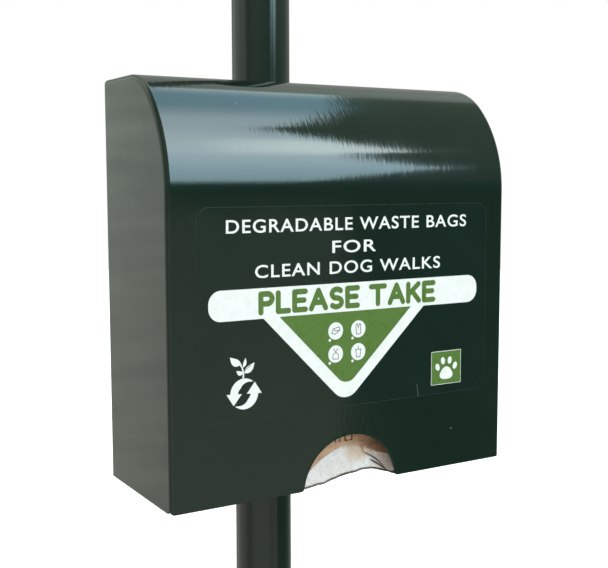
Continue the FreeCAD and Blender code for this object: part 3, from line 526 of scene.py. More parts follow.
def make_wrap():
    """The front, both arcs and the roof in one sheet, with the bag notch in its lower edge."""
    notch = notch_edge()
    outer_x = notch[-1].x
    side_x = [outer_x + (SEAM_X - outer_x) * f for f in (0.06, 0.16, 0.3, 0.45, 0.6, 0.75, 0.88)]
    side_x += [HINGE_SLOT_X, SEAM_X]
    left = [Vector((-x, BOTTOM_Z)) for x in reversed(side_x)]
    right = [Vector((x, BOTTOM_Z)) for x in side_x]
    lower = left + notch + right
    count = len(notch)
    upper_x = [p.x for p in left]
    upper_x += [-outer_x + 2 * outer_x * i / (count - 1) for i in range(count)]
    upper_x += [p.x for p in right]
    points = []
    lower_rows = 10
    for r in range(lower_rows):
        f = r / lower_rows
        for low, x in zip(lower, upper_x):
            points.append((low.x + (x - low.x) * f, FRONT_Y, low.y + (FLAT_FROM_Z - low.y) * f))
    for y, z, _, _ in PROFILE:
        points += [(x, y, z) for x in upper_x]
    columns = len(upper_x)
    rows = lower_rows + len(PROFILE)
    faces = grid_faces(rows, columns)
    last = (rows - 1) * columns
    for c in (0, columns - 2):
        start = len(points)
        points += [(upper_x[c], REAR_Y, TOP_Z), (upper_x[c + 1], REAR_Y, TOP_Z)]
        faces.append((last + c, last + c + 1, start + 1, start))
    mesh = mesh_from("cover_wrap_sheet", points, faces)
    piece = add_piece("cover_wrap_sheet", mesh, "cover", "green_paint", replaces=["cover_wrap"])
    thicken(piece, SHEET)
    soften_edges(piece)


def lower_corner_z(x):
    """Height of the front's lower edge where its corner is rounded."""
    over = max(0.0, x - (SIDE_X - LOWER_CORNER_R))
    return BOTTOM_Z + LOWER_CORNER_R - math.sqrt(max(0.0, LOWER_CORNER_R**2 - over**2))


def make_cheek(side, body_name):
    """A flat cheek, its rounded rim and a narrow strip of the front beside the seam."""
    turns = [math.pi / 2 * i / 10 for i in range(11)]
    offsets = [(SEAM_X, 0.0)]
    offsets += [(SIDE_X - CORNER_R * (1 - math.sin(a)), CORNER_R * (1 - math.cos(a))) for a in turns]
    rows = [(FRONT_Y, None, -1.0, 0.0), (FRONT_Y, 0.18, -1.0, 0.0)] + PROFILE[:-1]
    rows.append((HINGE_SLOT_Y, TOP_Z, 0.0, 1.0))
    rows.append((REAR_Y, TOP_Z, 0.0, 1.0))
    points = []
    for y, z, out_y, out_z in rows:
        for x, inset in offsets:
            height = lower_corner_z(x) if z is None else z
            points.append((side * x, y - out_y * inset, height - out_z * inset))
    columns = len(offsets)
    faces = grid_faces(len(rows), columns, flip=side < 0)
    rim = [r * columns + columns - 1 for r in range(len(rows))]
    start = len(points)
    points.append((side * SIDE_X, REAR_Y, BOTTOM_Z))
    points.append((side * SIDE_X, FRONT_Y + CORNER_R + 0.0035, BOTTOM_Z))
    points.append((side * SIDE_X, FRONT_Y + CORNER_R + 0.0010, BOTTOM_Z + 0.0010))
    panel = rim + [start, start + 1, start + 2]
    faces.append(panel[::-1] if side > 0 else panel)
    mesh = mesh_from(body_name, points, faces)
    with edited(mesh) as build:
        bmesh.ops.recalc_face_normals(build, faces=build.faces)
        outward = sum(f.normal.x * f.calc_area() for f in build.faces) * side
        if outward < 0:
            bmesh.ops.reverse_faces(build, faces=build.faces)
    return mesh


def cut_lock_hole(piece):
    """A round hole in the right cheek for the lock barrel."""
    low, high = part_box("lock_body")
    centre = Matrix.Translation((SIDE_X, (low.y + high.y) / 2, (low.z + high.z) / 2))
    mesh = bpy.data.meshes.new("lock_hole_cutter")
    with edited(mesh) as build:
        bmesh.ops.create_cone(
            build,
            cap_ends=True,
            segments=64,
            radius1=LOCK_HOLE_R,
            radius2=LOCK_HOLE_R,
            depth=0.02,
            matrix=centre @ Matrix.Rotation(math.pi / 2, 4, "Y"),
        )
    cutter = bpy.data.objects.new("lock_hole_cutter", mesh)
    SCENE.collection.objects.link(cutter)
    cut = piece.modifiers.new("hole", "BOOLEAN")
    cut.operation = "DIFFERENCE"
    cut.solver = "EXACT"
    cut.object = cutter
    bake_modifiers(piece)
    bpy.data.objects.remove(cutter)
    bpy.data.meshes.remove(mesh)


def make_cheeks():
    for side, word in ((-1, "left"), (1, "right")):
        name = f"cover_cheek_{word}"
        mesh = make_cheek(side, name)
        piece = add_piece(name, mesh, "cover", "green_paint", replaces=[f"cover_side_{word}"])
        thicken(piece, SHEET)
        if side > 0:
            cut_lock_hole(piece)
        soften_edges(piece)


make_wrap()
make_cheeks()


# ---- label ------------------------------------------------------------------------------------------


def flat_shape(name, loops, level, slot, material=None):
    """Ink on the label: closed loops of (x, z) filled and raised a little from the layer below."""
    curve = bpy.data.curves.new(name, "CURVE")
    curve.dimensions = "2D"
    curve.fill_mode = "BOTH"
    curve.extrude = PRINT_THICK / 2
    for loop in loops:
        spline = curve.splines.new("POLY")
        spline.points.add(len(loop) - 1)
        for point, (x, z) in zip(spline.points, loop):
            point.co = (x, z, 0, 1)
        spline.use_cyclic_u = True
    print_piece(name, curve_mesh(curve), level, slot, material)


def fitted(mesh, x0, x1, z0, z1):
    """Stretches a flat mesh to two pairs of limits."""
    xs = [v.co.x for v in mesh.vertices]
    zs = [v.co.y for v in mesh.vertices]
    scale = Matrix.Diagonal(((x1 - x0) / (max(xs) - min(xs)), (z1 - z0) / (max(zs) - min(zs)), 1, 1))
    mesh.transform(Matrix.Translation((x0, z0, 0)) @ scale @ Matrix.Translation((-min(xs), -min(zs), 0)))
    return mesh


def print_piece(name, mesh, level, slot, material=None):
    """Stands a flat mesh upright on the label."""
    place = Matrix.Translation((0, LABEL_Y - PRINT_THICK * (level - 0.4), 0))
    mesh.transform(place @ Matrix.Rotation(math.pi / 2, 4, "X"))
    with edited(mesh) as build:
        bmesh.ops.remove_doubles(build, verts=build.verts, dist=1e-7)
    add_piece(name, mesh, "cover", slot, material)


def text_line(name, words, limits):
    curve = bpy.data.curves.new(name, "FONT")
    curve.body = words
    curve.size = 1.0
    curve.offset = LETTER_WEIGHT
    curve.extrude = PRINT_THICK / 2
    curve.space_character = LETTER_SPACING
    curve.resolution_u = 6
    print_piece(name, fitted(curve_mesh(curve), *limits), 1, "label_white")


def moved(points, x, z):
    return [(x + dx, z + dz) for dx, dz in points]


def rectangle(x0, x1, z0, z1, inset=0.0):
    left, right, low, high = x0 + inset, x1 - inset, z0 + inset, z1 - inset
    return [(left, low), (right, low), (right, high), (left, high)]


def rounded(corners, radii, steps=10):
    """A closed outline with each corner replaced by an arc of its own radius."""
    outline = []
    count = len(corners)
    for i, (corner, radius) in enumerate(zip(corners, radii)):
        here = Vector(corner)
        before = (Vector(corners[i - 1]) - here).normalized()
        after = (Vector(corners[(i + 1) % count]) - here).normalized()
        half = before.angle(after) / 2
        if radius <= 0:
            outline.append(tuple(here))
            continue
        centre = here + (before + after).normalized() * (radius / math.sin(half))
        start = here + before * (radius / math.tan(half)) - centre
        sweep = start.angle_signed(here + after * (radius / math.tan(half)) - centre)
        for k in range(steps + 1):
            turn = -sweep * k / steps
            outline.append(tuple(centre + Matrix.Rotation(turn, 2) @ start))
    return outline


def disc(x, z, radius, steps=48, stretch=1.0, turn=0.0):
    """A circle, or an ellipse stretched along its own first axis."""
    points = []
    for i in range(steps):
        angle = 2 * math.pi * i / steps
        offset = Vector((stretch * radius * math.cos(angle), radius * math.sin(angle)))
        offset = Matrix.Rotation(turn, 2) @ offset
        points.append((x + offset.x, z + offset.y))
    return points


def capsule(a, b, radius, steps=10):
    """The outline of one round-ended pen stroke."""
    a, b = Vector(a), Vector(b)
    along = (b - a).normalized() if (b - a).length > 1e-9 else Vector((1, 0))
    base = math.atan2(along.y, along.x)
    points = []
    for end, start in ((b, base - math.pi / 2), (a, base + math.pi / 2)):
        for i in range(steps + 1):
            angle = start + math.pi * i / steps
            points.append((end.x + radius * math.cos(angle), end.y + radius * math.sin(angle)))
    return points


def stroke_shape(name, strokes, radius, level, slot, material=None, body="cover", face_y=LABEL_Y):
    """Pen strokes as low prisms side by side, each one a hair's breadth above the last."""
    points = []
    faces = []
    segments = [ends for stroke in strokes for ends in zip(stroke, stroke[1:])]
    for lift, (a, b) in enumerate(segments):
        outline = capsule(a, b, radius)
        count = len(outline)
        front_y = face_y - PRINT_THICK * (level + 0.1) - lift * 2e-7
        back_y = face_y - PRINT_THICK * (level - 1) * 0.9
        start = len(points)
        points += [(x, front_y, z) for x, z in outline]
        points += [(x, back_y, z) for x, z in outline]
        faces.append(tuple(range(start, start + count)))
        faces.append(tuple(range(start + 2 * count - 1, start + count - 1, -1)))
        for i in range(count):
            j = (i + 1) % count
            faces.append((start + i, start + count + i, start + count + j, start + j))
    add_piece(name, mesh_from(name, points, faces, smooth=False), body, slot, material)


def arc_points(cx, cz, rx, rz, start_deg, end_deg, steps=14):
    points = []
    for i in range(steps + 1):
        angle = math.radians(start_deg + (end_deg - start_deg) * i / steps)
        points.append((cx + rx * math.cos(angle), cz + rz * math.sin(angle)))
    return points


LETTERS = {
    "T": (0.84, [[(0, 1), (0.84, 1)], [(0.42, 1), (0.42, 0)]]),
    "A": (0.84, [[(0, 0), (0.42, 1), (0.84, 0)], [(0.15, 0.33), (0.69, 0.33)]]),
    "K": (0.70, [[(0, 0), (0, 1)], [(0.66, 1), (0.05, 0.42)], [(0.24, 0.60), (0.70, 0)]]),
    "E": (0.62, [[(0.62, 1), (0, 1), (0, 0), (0.62, 0)], [(0, 0.52), (0.54, 0.52)]]),
    "P": (
        0.62,
        [[(0, 0), (0, 1), (0.34, 1)], [(0, 0.46), (0.34, 0.46)], arc_points(0.34, 0.73, 0.28, 0.27, 90, -90)],
    ),
    "L": (0.58, [[(0, 1), (0, 0), (0.58, 0)]]),
    "S": (0.62, [arc_points(0.32, 0.75, 0.29, 0.25, 40, 270), arc_points(0.30, 0.25, 0.31, 0.25, 90, -140)]),
    " ": (0.16, []),
}


def round_word(words, x0, x1, z0, z1, radius):
    """Strokes of a round-ended capital word fitted between two pairs of limits."""
    gap = 0.34
    strokes = []
    cursor = 0.0
    for letter in words:
        width, shapes = LETTERS[letter]
        strokes += [[(cursor + x, z) for x, z in shape] for shape in shapes]
        cursor += width + gap
    total = cursor - gap
    scale_x = (x1 - x0 - 2 * radius) / total
    scale_z = z1 - z0 - 2 * radius
    return [[(x0 + radius + x * scale_x, z0 + radius + z * scale_z) for x, z in s] for s in strokes]


def leaf(base, tip, width):
    """A pointed leaf between its base and its tip."""
    base, tip = Vector(base), Vector(tip)
    along = tip - base
    side = Vector((-along.y, along.x)).normalized()
    edge = []
    steps = 14
    for sign in (1, -1):
        for i in range(steps):
            f = i / steps if sign > 0 else 1 - i / steps
            bulge = math.sin(math.pi * f**0.8) * width / 2
            sway = LEAF_BEND * width * math.sin(math.pi * f)
            point = base + along * f + side * (sign * bulge + sway)
            edge.append(tuple(point))
    return edge


def turning_arrow(cx, cz, outer_r, inner_r, start_deg, end_deg, head):
    """A curved arrow that grows from a point to its full width and ends in a broad head."""
    steps = 26
    outer, inner = [], []
    for i in range(steps + 1):
        f = i / steps
        angle = math.radians(start_deg + (end_deg - start_deg) * f)
        grow = min(1.0, f * 1.7) ** 0.8
        middle_r = outer_r - (outer_r - inner_r) * 0.5 * grow
        half = (outer_r - inner_r) * 0.5 * grow
        outer.append((cx + (middle_r + half) * math.cos(angle), cz + (middle_r + half) * math.sin(angle)))
        inner.append((cx + (middle_r - half) * math.cos(angle), cz + (middle_r - half) * math.sin(angle)))
    end = math.radians(end_deg)
    turn = 1 if end_deg > start_deg else -1
    radial = Vector((math.cos(end), math.sin(end)))
    forward = Vector((-math.sin(end), math.cos(end))) * turn
    centre = Vector((cx, cz)) + radial * (outer_r + inner_r) / 2
    wide = (outer_r - inner_r) / 2 + head * 0.36
    tip = centre + forward * head
    return outer + [tuple(centre + radial * wide), tuple(tip), tuple(centre - radial * wide)] + inner[::-1]


def label_outline():
    """A thin bright line where the edge of the film catches the light."""
    low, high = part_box("label_film")
    return [
        rounded(rectangle(low.x, high.x, low.z, high.z, inset), [LABEL_CORNER_R - inset] * 4)
        for inset in (0.0, 0.0005)
    ]


def make_label():
    text_line("label_line_1", "DEGRADABLE WASTE BAGS", (-0.1285, 0.1347, 0.3986, 0.4104))
    text_line("label_line_2", "FOR", (-0.0212, 0.0271, 0.3780, 0.3894))
    text_line("label_line_3", "CLEAN DOG WALKS", (-0.1007, 0.1028, 0.3590, 0.3706))
    bar = rectangle(-0.146, 0.149, 0.3232, 0.3502)
    flat_shape("label_bar", [rounded(bar, [0.0118] * 4)], 1, "label_white")
    white = [(-0.0940, 0.3245), (0.0845, 0.3245), (-0.0066, 0.2368)]
    flat_shape("label_triangle_white", [rounded(white, [0.0, 0.0, 0.0165])], 1.4, "label_white")
    green = [(-0.0765, 0.3236), (0.0680, 0.3236), (-0.0055, 0.2526)]
    flat_shape("label_triangle_green", [rounded(green, [0.0004, 0.0004, 0.0130])], 2.4, "label_green")
    word = round_word("PLEASE TAKE", -0.0977, 0.0974, 0.3262, 0.3474, WORD_STROKE_R)
    stroke_shape("label_word", word, WORD_STROKE_R, 2.4, "label_green")
    # painted highlight: the film's rim drawn lighter than the film, where its edge catches the light
    edge = print_material("label_film_edge_highlight", (0.016, 0.026, 0.021), (0.010, 0.018, 0.014))
    flat_shape("label_film_rim", label_outline(), 0.6, "label_film", edge)


def make_wear():
    """A short scratch across the label's lower edge and a chip in the paint beside it."""
    pale = print_material("worn_paint", (0.16, 0.17, 0.15), (0.08, 0.09, 0.08))
    scratch = [(0.0762, 0.2465), (0.0768, 0.2420), (0.0776, 0.2370), (0.0779, 0.2352)]
    stroke_shape("front_scratch", [scratch], 0.00022, 1, "label_film", pale)
    chip = [[(0.1190, 0.1982), (0.1192, 0.1974)], [(0.1196, 0.1940), (0.1198, 0.1890)]]
    stroke_shape("front_paint_chip", chip[:1], 0.00055, 1, "green_paint", pale, face_y=FRONT_Y)
    stroke_shape("front_paint_mark", chip[1:], 0.00018, 1, "green_paint", DARK_INK, face_y=FRONT_Y)


def make_sprout():
    """A sprout over two turning arrows, in measured proportions."""
    cx, cz = -0.1122, 0.2582
    stem = [(-0.0010, 0.0138), (-0.0006, 0.0169), (-0.0011, 0.0205), (-0.0018, 0.0230), (-0.0038, 0.0268)]
    stroke_shape("label_sprout_stem", [moved(stem, cx, cz)], 0.0007, 1, "label_white")
    leaves = [
        ((-0.0030, 0.0262), (-0.0138, 0.0333), 0.0066),
        ((-0.0008, 0.0235), (0.0015, 0.0318), -0.0032),
        ((-0.0001, 0.0186), (0.0103, 0.0270), -0.0058),
        ((-0.0012, 0.0179), (-0.0076, 0.0210), 0.0040),
    ]
    for number, (base, tip, width) in enumerate(leaves, 1):
        flat_shape(f"label_leaf_{number}", [moved(leaf(base, tip, width), cx, cz)], 1, "label_white")
    vein = [(0.0002, 0.0194), (0.0018, 0.0214), (0.0042, 0.0232), (0.0066, 0.0246)]
    stroke_shape("label_leaf_vein", [moved(vein, cx, cz)], 0.00026, 2, "label_green", DARK_INK)
    for number, start in enumerate((49, 229), 1):
        loop = turning_arrow(cx, cz, 0.0137, 0.0062, start, start + 128, 0.0103)
        flat_shape(f"label_arrow_{number}", [loop], 1, "label_white")


def make_badge():
    """A green square with a paw print."""
    x0, x1, z0, z1 = 0.0935, 0.1304, 0.2434, 0.2766
    flat_shape("label_badge_border", [rounded(rectangle(x0, x1, z0, z1), [0.0006] * 4)], 1, "label_white")
    inner = rectangle(x0, x1, z0, z1, inset=0.0005)
    flat_shape("label_badge_green", [rounded(inner, [0.0004] * 4)], 2, "label_green")
    cx, cz = (x0 + x1) / 2, (z0 + z1) / 2 - 0.0015
    pad = []
    for i in range(40):
        angle = 2 * math.pi * i / 40
        lobes = 1 + 0.10 * math.cos(3 * angle + math.pi / 2)
        pad.append((cx + 0.0078 * lobes * math.cos(angle), cz - 0.0045 + 0.0062 * lobes * math.sin(angle)))
    flat_shape("label_paw_pad", [pad], 3, "label_white")
    toes = [(-0.0108, 0.0025, 20), (-0.0042, 0.0084, 8), (0.0042, 0.0084, -8), (0.0108, 0.0025, -20)]
    for number, (dx, dz, lean) in enumerate(toes, 1):
        toe = disc(cx + dx, cz + dz, 0.0025, 28, 1.45, math.radians(90 + lean))
        flat_shape(f"label_paw_toe_{number}", [toe], 3, "label_white")


def make_steps():
    """Four small round pictures: a folded bag, a hand in a bag, a knotted bag and a litter bin."""
    places = [(-0.0176, 0.3064), (0.0073, 0.3064), (-0.0176, 0.2850), (0.0073, 0.2850)]
    folded_bag = [
        [(-0.5, -0.2), (-0.3, 0.25), (0.45, 0.4), (0.5, 0.05), (-0.1, -0.35), (-0.5, -0.2)],
        [(-0.3, 0.25), (-0.05, 0.0), (0.5, 0.05)],
    ]
    hand_in_bag = [
        [(-0.25, -0.55), (-0.3, 0.5), (-0.1, 0.55), (0.0, 0.1)],
        [(0.0, 0.1), (0.15, 0.55), (0.3, 0.5), (0.3, -0.5), (-0.25, -0.55)],
    ]
    knotted_bag = [
        [(0.0, 0.2), (-0.35, -0.1), (-0.35, -0.5), (0.3, -0.55), (0.35, -0.1), (0.0, 0.2)],
        [(0.0, 0.2), (-0.25, 0.55)],
        [(0.0, 0.2), (0.25, 0.55)],
    ]
    litter_bin = [
        [(-0.3, 0.25), (-0.22, -0.55), (0.22, -0.55), (0.3, 0.25)],
        [(-0.4, 0.25), (0.4, 0.25)],
        [(0.0, 0.6), (0.0, 0.35)],
    ]
    pictures = [folded_bag, hand_in_bag, knotted_bag, litter_bin]
    radius = 0.0080
    for number, ((x, z), picture) in enumerate(zip(places, pictures), 1):
        flat_shape(f"label_step_{number}", [disc(x, z, radius)], 3.4, "label_white")
        dot = (x - radius * 0.80, z - radius * 1.02)
        flat_shape(f"label_step_dot_{number}", [disc(*dot, 0.0013, 24)], 3.4, "label_white")
        lines = [[(x + u * radius * 1.1, z + w * radius * 1.1) for u, w in line] for line in picture]
        stroke_shape(f"label_step_lines_{number}", lines, 0.00034, 4.2, "label_white", GLYPH_INK)


make_label()
make_wear()
make_sprout()
make_badge()
make_steps()


# ---- bags, folder and packs --------------------------------------------------------------------------


def smooth_step(low, high, value):
    f = min(1.0, max(0.0, (value - low) / (high - low)))
    return f * f * (3 - 2 * f)


def wrinkle(x, z, scale, seed, octaves):
    return noise.turbulence((x * scale + seed, z * scale * 0.6, seed * 1.7), octaves, False)


def steps_between(a, b, count):
    return [a + (b - a) * i / count for i in range(count + 1)]


def hanging_sheet(name, size, sides, low_z, top, depth_y, crowding=1.0):
    """A mesh of size (rows, columns) from a lower edge low_z(x) up to a level top, at depth_y(x, z)."""
    rows, columns = size
    left, right = sides
    points = []
    for r in range(rows):
        f = (r / (rows - 1)) ** crowding
        for c in range(columns):
            x = left + (right - left) * c / (columns - 1)
            low = low_z(x)
            z = low + (top - low) * f
            points.append((x, depth_y(x, z), z))
    return mesh_from(name, points, grid_faces(rows, columns))


FILM_TOP_Z = 0.442
FILM_HALF = 0.098
FILM_TOP_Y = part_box("front_bag")[1].y - 0.0005
FILM_LOW_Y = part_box("front_bag")[0].y + 0.0005


def film_hem_z(x):
    """The loose bag's lower edge: low at the left, lifted right of the middle, then down again."""
    spread = 0.033 if x < 0.026 else 0.025
    return 0.1575 + 0.0102 * math.exp(-(((x - 0.026) / spread) ** 2))


def film_y(x, z):
    """The loose bag leans forward as it goes down and creases more towards its free end."""
    lean = smooth_step(0.41, 0.19, z)
    base = FILM_TOP_Y + (FILM_LOW_Y - FILM_TOP_Y) * lean
    free = smooth_step(0.36, 0.17, z)
    folds = wrinkle(x, z, 26.0, 3.1, 3) * 0.0048 + wrinkle(x, z, 80.0, 9.4, 2) * 0.0014
    pleat = 0.0016 * math.sin(x * 95 + 3.0 * noise.noise((x * 12, z * 9, 0.4)))
    return base + free * (folds + pleat * 0.6) - 0.0004 * free


def make_front_bag():
    """The loose bag that hangs behind the notch, and the dark line of its hem, partly its folded edge and
    partly painted shade.
    """
    name = "front_bag_film"
    mesh = hanging_sheet(name, (131, 99), (-FILM_HALF, FILM_HALF), film_hem_z, FILM_TOP_Z, film_y)
    piece = add_piece(name, mesh, "root", "bag_film", replaces=["front_bag"])
    thicken(piece, FILM_THICK, 0.0)
    # the hem's dark tube is partly the film's folded edge and partly painted shade
    hem_x = steps_between(-FILM_HALF, FILM_HALF, 90)
    hem_line = [(x, film_y(x, film_hem_z(x)) - 0.0003, film_hem_z(x)) for x in hem_x]
    hem = round_line("front_bag_hem_and_shadow", hem_line, 0.0010)


def round_line(name, points, radius, slot="bag_film", material=FOLD_SHADOW_DARK, taper=False):
    """A thin round edge along points, made as a tube, dark with painted fold shadow unless another finish is
    given.
    """
    curve = bpy.data.curves.new(name, "CURVE")
    curve.dimensions = "3D"
    curve.bevel_depth = radius
    curve.bevel_resolution = 2
    curve.use_fill_caps = True
    spline = curve.splines.new("POLY")
    spline.points.add(len(points) - 1)
    for i, (point, co) in enumerate(zip(spline.points, points)):
        point.co = (*co, 1)
        if taper:
            point.radius = max(0.15, math.sin(math.pi * (i + 0.5) / len(points)))
    mesh = curve_mesh(curve)
    for polygon in mesh.polygons:
        polygon.use_smooth = True
    return add_piece(name, mesh, "root", slot, material)


def catmull(points, x):
    """Smooth single-valued curve through points sorted by x."""
    for i in range(len(points) - 1):
        if points[i][0] <= x <= points[i + 1][0]:
            (x1, z1), (x2, z2) = points[i], points[i + 1]
            x0, z0 = points[max(0, i - 1)]
            x3, z3 = points[min(len(points) - 1, i + 2)]
            span = x2 - x1
            f = (x - x1) / span
            m1 = (z2 - z0) / (x2 - x0) * span
            m2 = (z3 - z1) / (x3 - x1) * span
            return (
                (2 * f**3 - 3 * f**2 + 1) * z1
                + (f**3 - 2 * f**2 + f) * m1
                + (3 * f**2 - 2 * f**3) * z2
                + (f**3 - f**2) * m2
            )
    return points[0][1] if x < points[0][0] else points[-1][1]


FOLDER_HALF = 0.096
FOLDER_BOTTOM_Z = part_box("pack_folder")[0].z
FOLDER_TOP_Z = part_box("pack_folder")[1].z
FOLDER_TOP_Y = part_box("pack_folder")[1].y - 0.0005
FOLDER_LOW_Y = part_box("pack_folder")[0].y + 0.0005
# the arch through which the bags are drawn, from left to right, above the case's lower edge
FOLDER_ARCH = [
    (-0.0570, -0.0030), (-0.0530, 0.0010), (-0.0395, 0.0135), (-0.0280, 0.0225), (-0.0190, 0.0275),
    (-0.0100, 0.0315), (0.0010, 0.0342), (0.0120, 0.0343), (0.0205, 0.0315), (0.0300, 0.0262),
    (0.0390, 0.0222), (0.0510, 0.0185), (0.0620, 0.0120), (0.0720, 0.0010), (0.0750, -0.0030),
]


def folder_y(x, z):
    """The card leans forward as it goes down, and sways a little."""
    lean = smooth_step(0.44, 0.22, z)
    sway = 0.0004 * noise.noise((x * 14, z * 9, 5.5)) * smooth_step(0.43, 0.30, z)
    return FOLDER_TOP_Y + (FOLDER_LOW_Y - FOLDER_TOP_Y) * lean + sway


def folder_low_z(x):
    """Height of the card's lower edge: its foot, or the arch above it."""
    return max(FOLDER_BOTTOM_Z, BOTTOM_Z + catmull(FOLDER_ARCH, x))


def make_folder():
    """The kraft card with its arch, and four strokes of the print cut off above the notch."""
    sides = (-FOLDER_HALF, FOLDER_HALF)
    mesh = hanging_sheet("kraft_folder", (60, 221), sides, folder_low_z, FOLDER_TOP_Z, folder_y, crowding=1.3)
    piece = add_piece("kraft_folder", mesh, "root", "kraft_card", FOLDER_CARD_PAINTED_SHADE, ["pack_folder"])
    thicken(piece, CARD_THICK, 0.0)
    # the card's flat area is its rectangle less the arch cut from its lower edge
    marks = []
    for x, foot in ((-0.0100, 0.0), (-0.0052, 0.0), (0.0008, 0.0030), (0.0085, -0.0018)):
        marks.append([(x, 0.2080), (x, 0.1985), (x + foot, 0.1985)])
    face_y = FOLDER_LOW_Y - 0.0003
    stroke_shape("kraft_folder_marks", marks, 0.0008, 1, "kraft_card", CARD_INK, "root", face_y)


# the loose bag's turned corner: its free edge from the fold down to the hem
FLAP_EDGE = [
    (0.0225, 0.0270), (0.0280, 0.0214), (0.0350, 0.0174), (0.0420, 0.0114), (0.0506, 0.0021),
    (0.0590, -0.0022), (0.0700, -0.0030),
]


FLAP_SIDES = (0.0235, 0.0900)
FLAP_TOP_Z = 0.2000


def flap_y(x, z):
    """The corner lies just in front of the loose bag, with small waves."""
    waves = 0.0007 * noise.noise((x * 70, z * 50, 2.2))
    return FILM_LOW_Y - 0.0016 + waves + 0.0006 * smooth_step(0.17, 0.20, z)


def flap_low_z(x):
    return BOTTOM_Z + catmull(FLAP_EDGE, x)


def make_flap():
    """The corner of the loose bag that is turned forward over itself, with dark tubes of painted shadow along
    its edge and a crease.
    """
    mesh = hanging_sheet("front_bag_corner", (30, 60), FLAP_SIDES, flap_low_z, FLAP_TOP_Z, flap_y)
    piece = add_piece("front_bag_corner", mesh, "root", "bag_film")
    thicken(piece, FILM_THICK, 0.0)
    # painted shadow: a dark tube along the corner's free edge, for the shade in the gap between the folds
    edge_x = steps_between(0.0265, FLAP_SIDES[1], 60)
    edge = [(x, flap_y(x, flap_low_z(x)) - 0.0002, flap_low_z(x)) for x in edge_x]
    rim = round_line("front_bag_corner_edge_shadow", edge, 0.00055)
    # painted shadow: a dark tapered tube for the shade of a wrinkle in the film
    fold = [(0.0285, 0.0165), (0.0335, 0.0140), (0.0386, 0.0109), (0.0440, 0.0070), (0.0495, 0.0030)]
    line = [(x, flap_y(x, BOTTOM_Z + z) - 0.0001, BOTTOM_Z + z) for x, z in fold]
    crease = round_line("front_bag_crease_shadow", line, 0.0008, taper=True)


PACK_LEAVES = 9


def make_pack(number):
    """A bundle of folded bags: separate wavy leaves whose edges don't quite line up."""
    low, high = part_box(f"bag_pack_{number}")
    pitch = (high.y - low.y) / PACK_LEAVES
    thick = pitch * 0.66
    columns, rows = 25, 35
    points, faces = [], []
    for k in range(PACK_LEAVES):
        seed = number * 10 + k
        half = (high.x - low.x) / 2 - random.uniform(0.0, 0.0034)
        slide = random.uniform(-0.0008, 0.0008)
        bottom = low.z + random.uniform(0.0, 0.0035)
        centre = low.y + pitch * (k + 0.5)
        for face in (-1, 1):
            start = len(points)
            for r in range(rows):
                f = r / (rows - 1)
                for c in range(columns):
                    u = -1 + 2 * c / (columns - 1)
                    edge = max(abs(u) ** 14, (1 - f) ** 22)
                    x = u * half + slide * (1 - abs(u)) + 0.0004 * noise.noise((u * 3, f * 8, seed))
                    ragged = 0.0012 * (1 - f) * noise.noise((u * 4, seed, 0.7))
                    z = bottom + (high.z - 0.0006 - bottom) * f + ragged
                    wave = 0.12 * pitch * noise.noise((u * 5, f * 9, seed * 1.3 + face))
                    y = centre + face * thick / 2 * (1 - 0.75 * edge) + wave * (1 - edge)
                    points.append((x, y, max(z, low.z)))
            faces += grid_faces(rows, columns, start, flip=face > 0)
        front, back = start - rows * columns, start
        ring = list(range(columns))
        ring += [r * columns + columns - 1 for r in range(1, rows)]
        ring += [(rows - 1) * columns + c for c in range(columns - 2, -1, -1)]
        ring += [r * columns for r in range(rows - 2, 0, -1)]
        for a, b in zip(ring, ring[1:] + ring[:1]):
            faces.append((front + b, front + a, back + a, back + b))
    name = f"bag_bundle_{number}"
    add_piece(name, mesh_from(name, points, faces), "root", "bag_film", PACK_FILM, [f"bag_pack_{number}"])


def make_staples():
    """Two wire staples through the front header card."""
    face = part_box("header_card_4")[0].y
    for number, x in enumerate((-0.090, 0.090), 1):
        wire = [(x - 0.0055, face + 0.0006, 0.4560), (x - 0.0055, face - 0.0003, 0.4560)]
        wire += [(x + 0.0055, face - 0.0003, 0.4560), (x + 0.0055, face + 0.0006, 0.4560)]
        round_line(f"header_staple_{number}", wire, 0.0003, "zinc_steel", MATERIALS["zinc_steel"])


def make_post():
    """The round post: a fine-sided tube with broken edges at both ends."""
    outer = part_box("post_tube")[1].x
    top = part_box("post_tube")[1].z
    inner, chamfer, sides = outer - 0.002, 0.0004, 144
    section = [
        (inner, chamfer), (inner + chamfer, 0.0), (outer - chamfer, 0.0), (outer, chamfer),
        (outer, top - chamfer), (outer - chamfer, top), (inner + chamfer, top), (inner, top - chamfer),
    ]
    points = []
    for k in range(sides):
        angle = 2 * math.pi * k / sides
        points += [(radius * math.cos(angle), radius * math.sin(angle), z) for radius, z in section]
    faces = []
    for k in range(sides):
        here, there = k * len(section), (k + 1) % sides * len(section)
        for j in range(len(section)):
            nxt = (j + 1) % len(section)
            faces.append((here + j, there + j, there + nxt, here + nxt))
    mesh = mesh_from("post_steel_tube", points, faces)
    piece = add_piece("post_steel_tube", mesh, "root", "green_paint", POST_PAINT, ["post_tube"])
    weight_normals(piece)
    bake_modifiers(piece)


make_post()
make_front_bag()
make_flap()
make_folder()
for pack_number in range(1, 5):
    make_pack(pack_number)
make_staples()


# ---- light, floor and camera ---------------------------------------------------------------------------


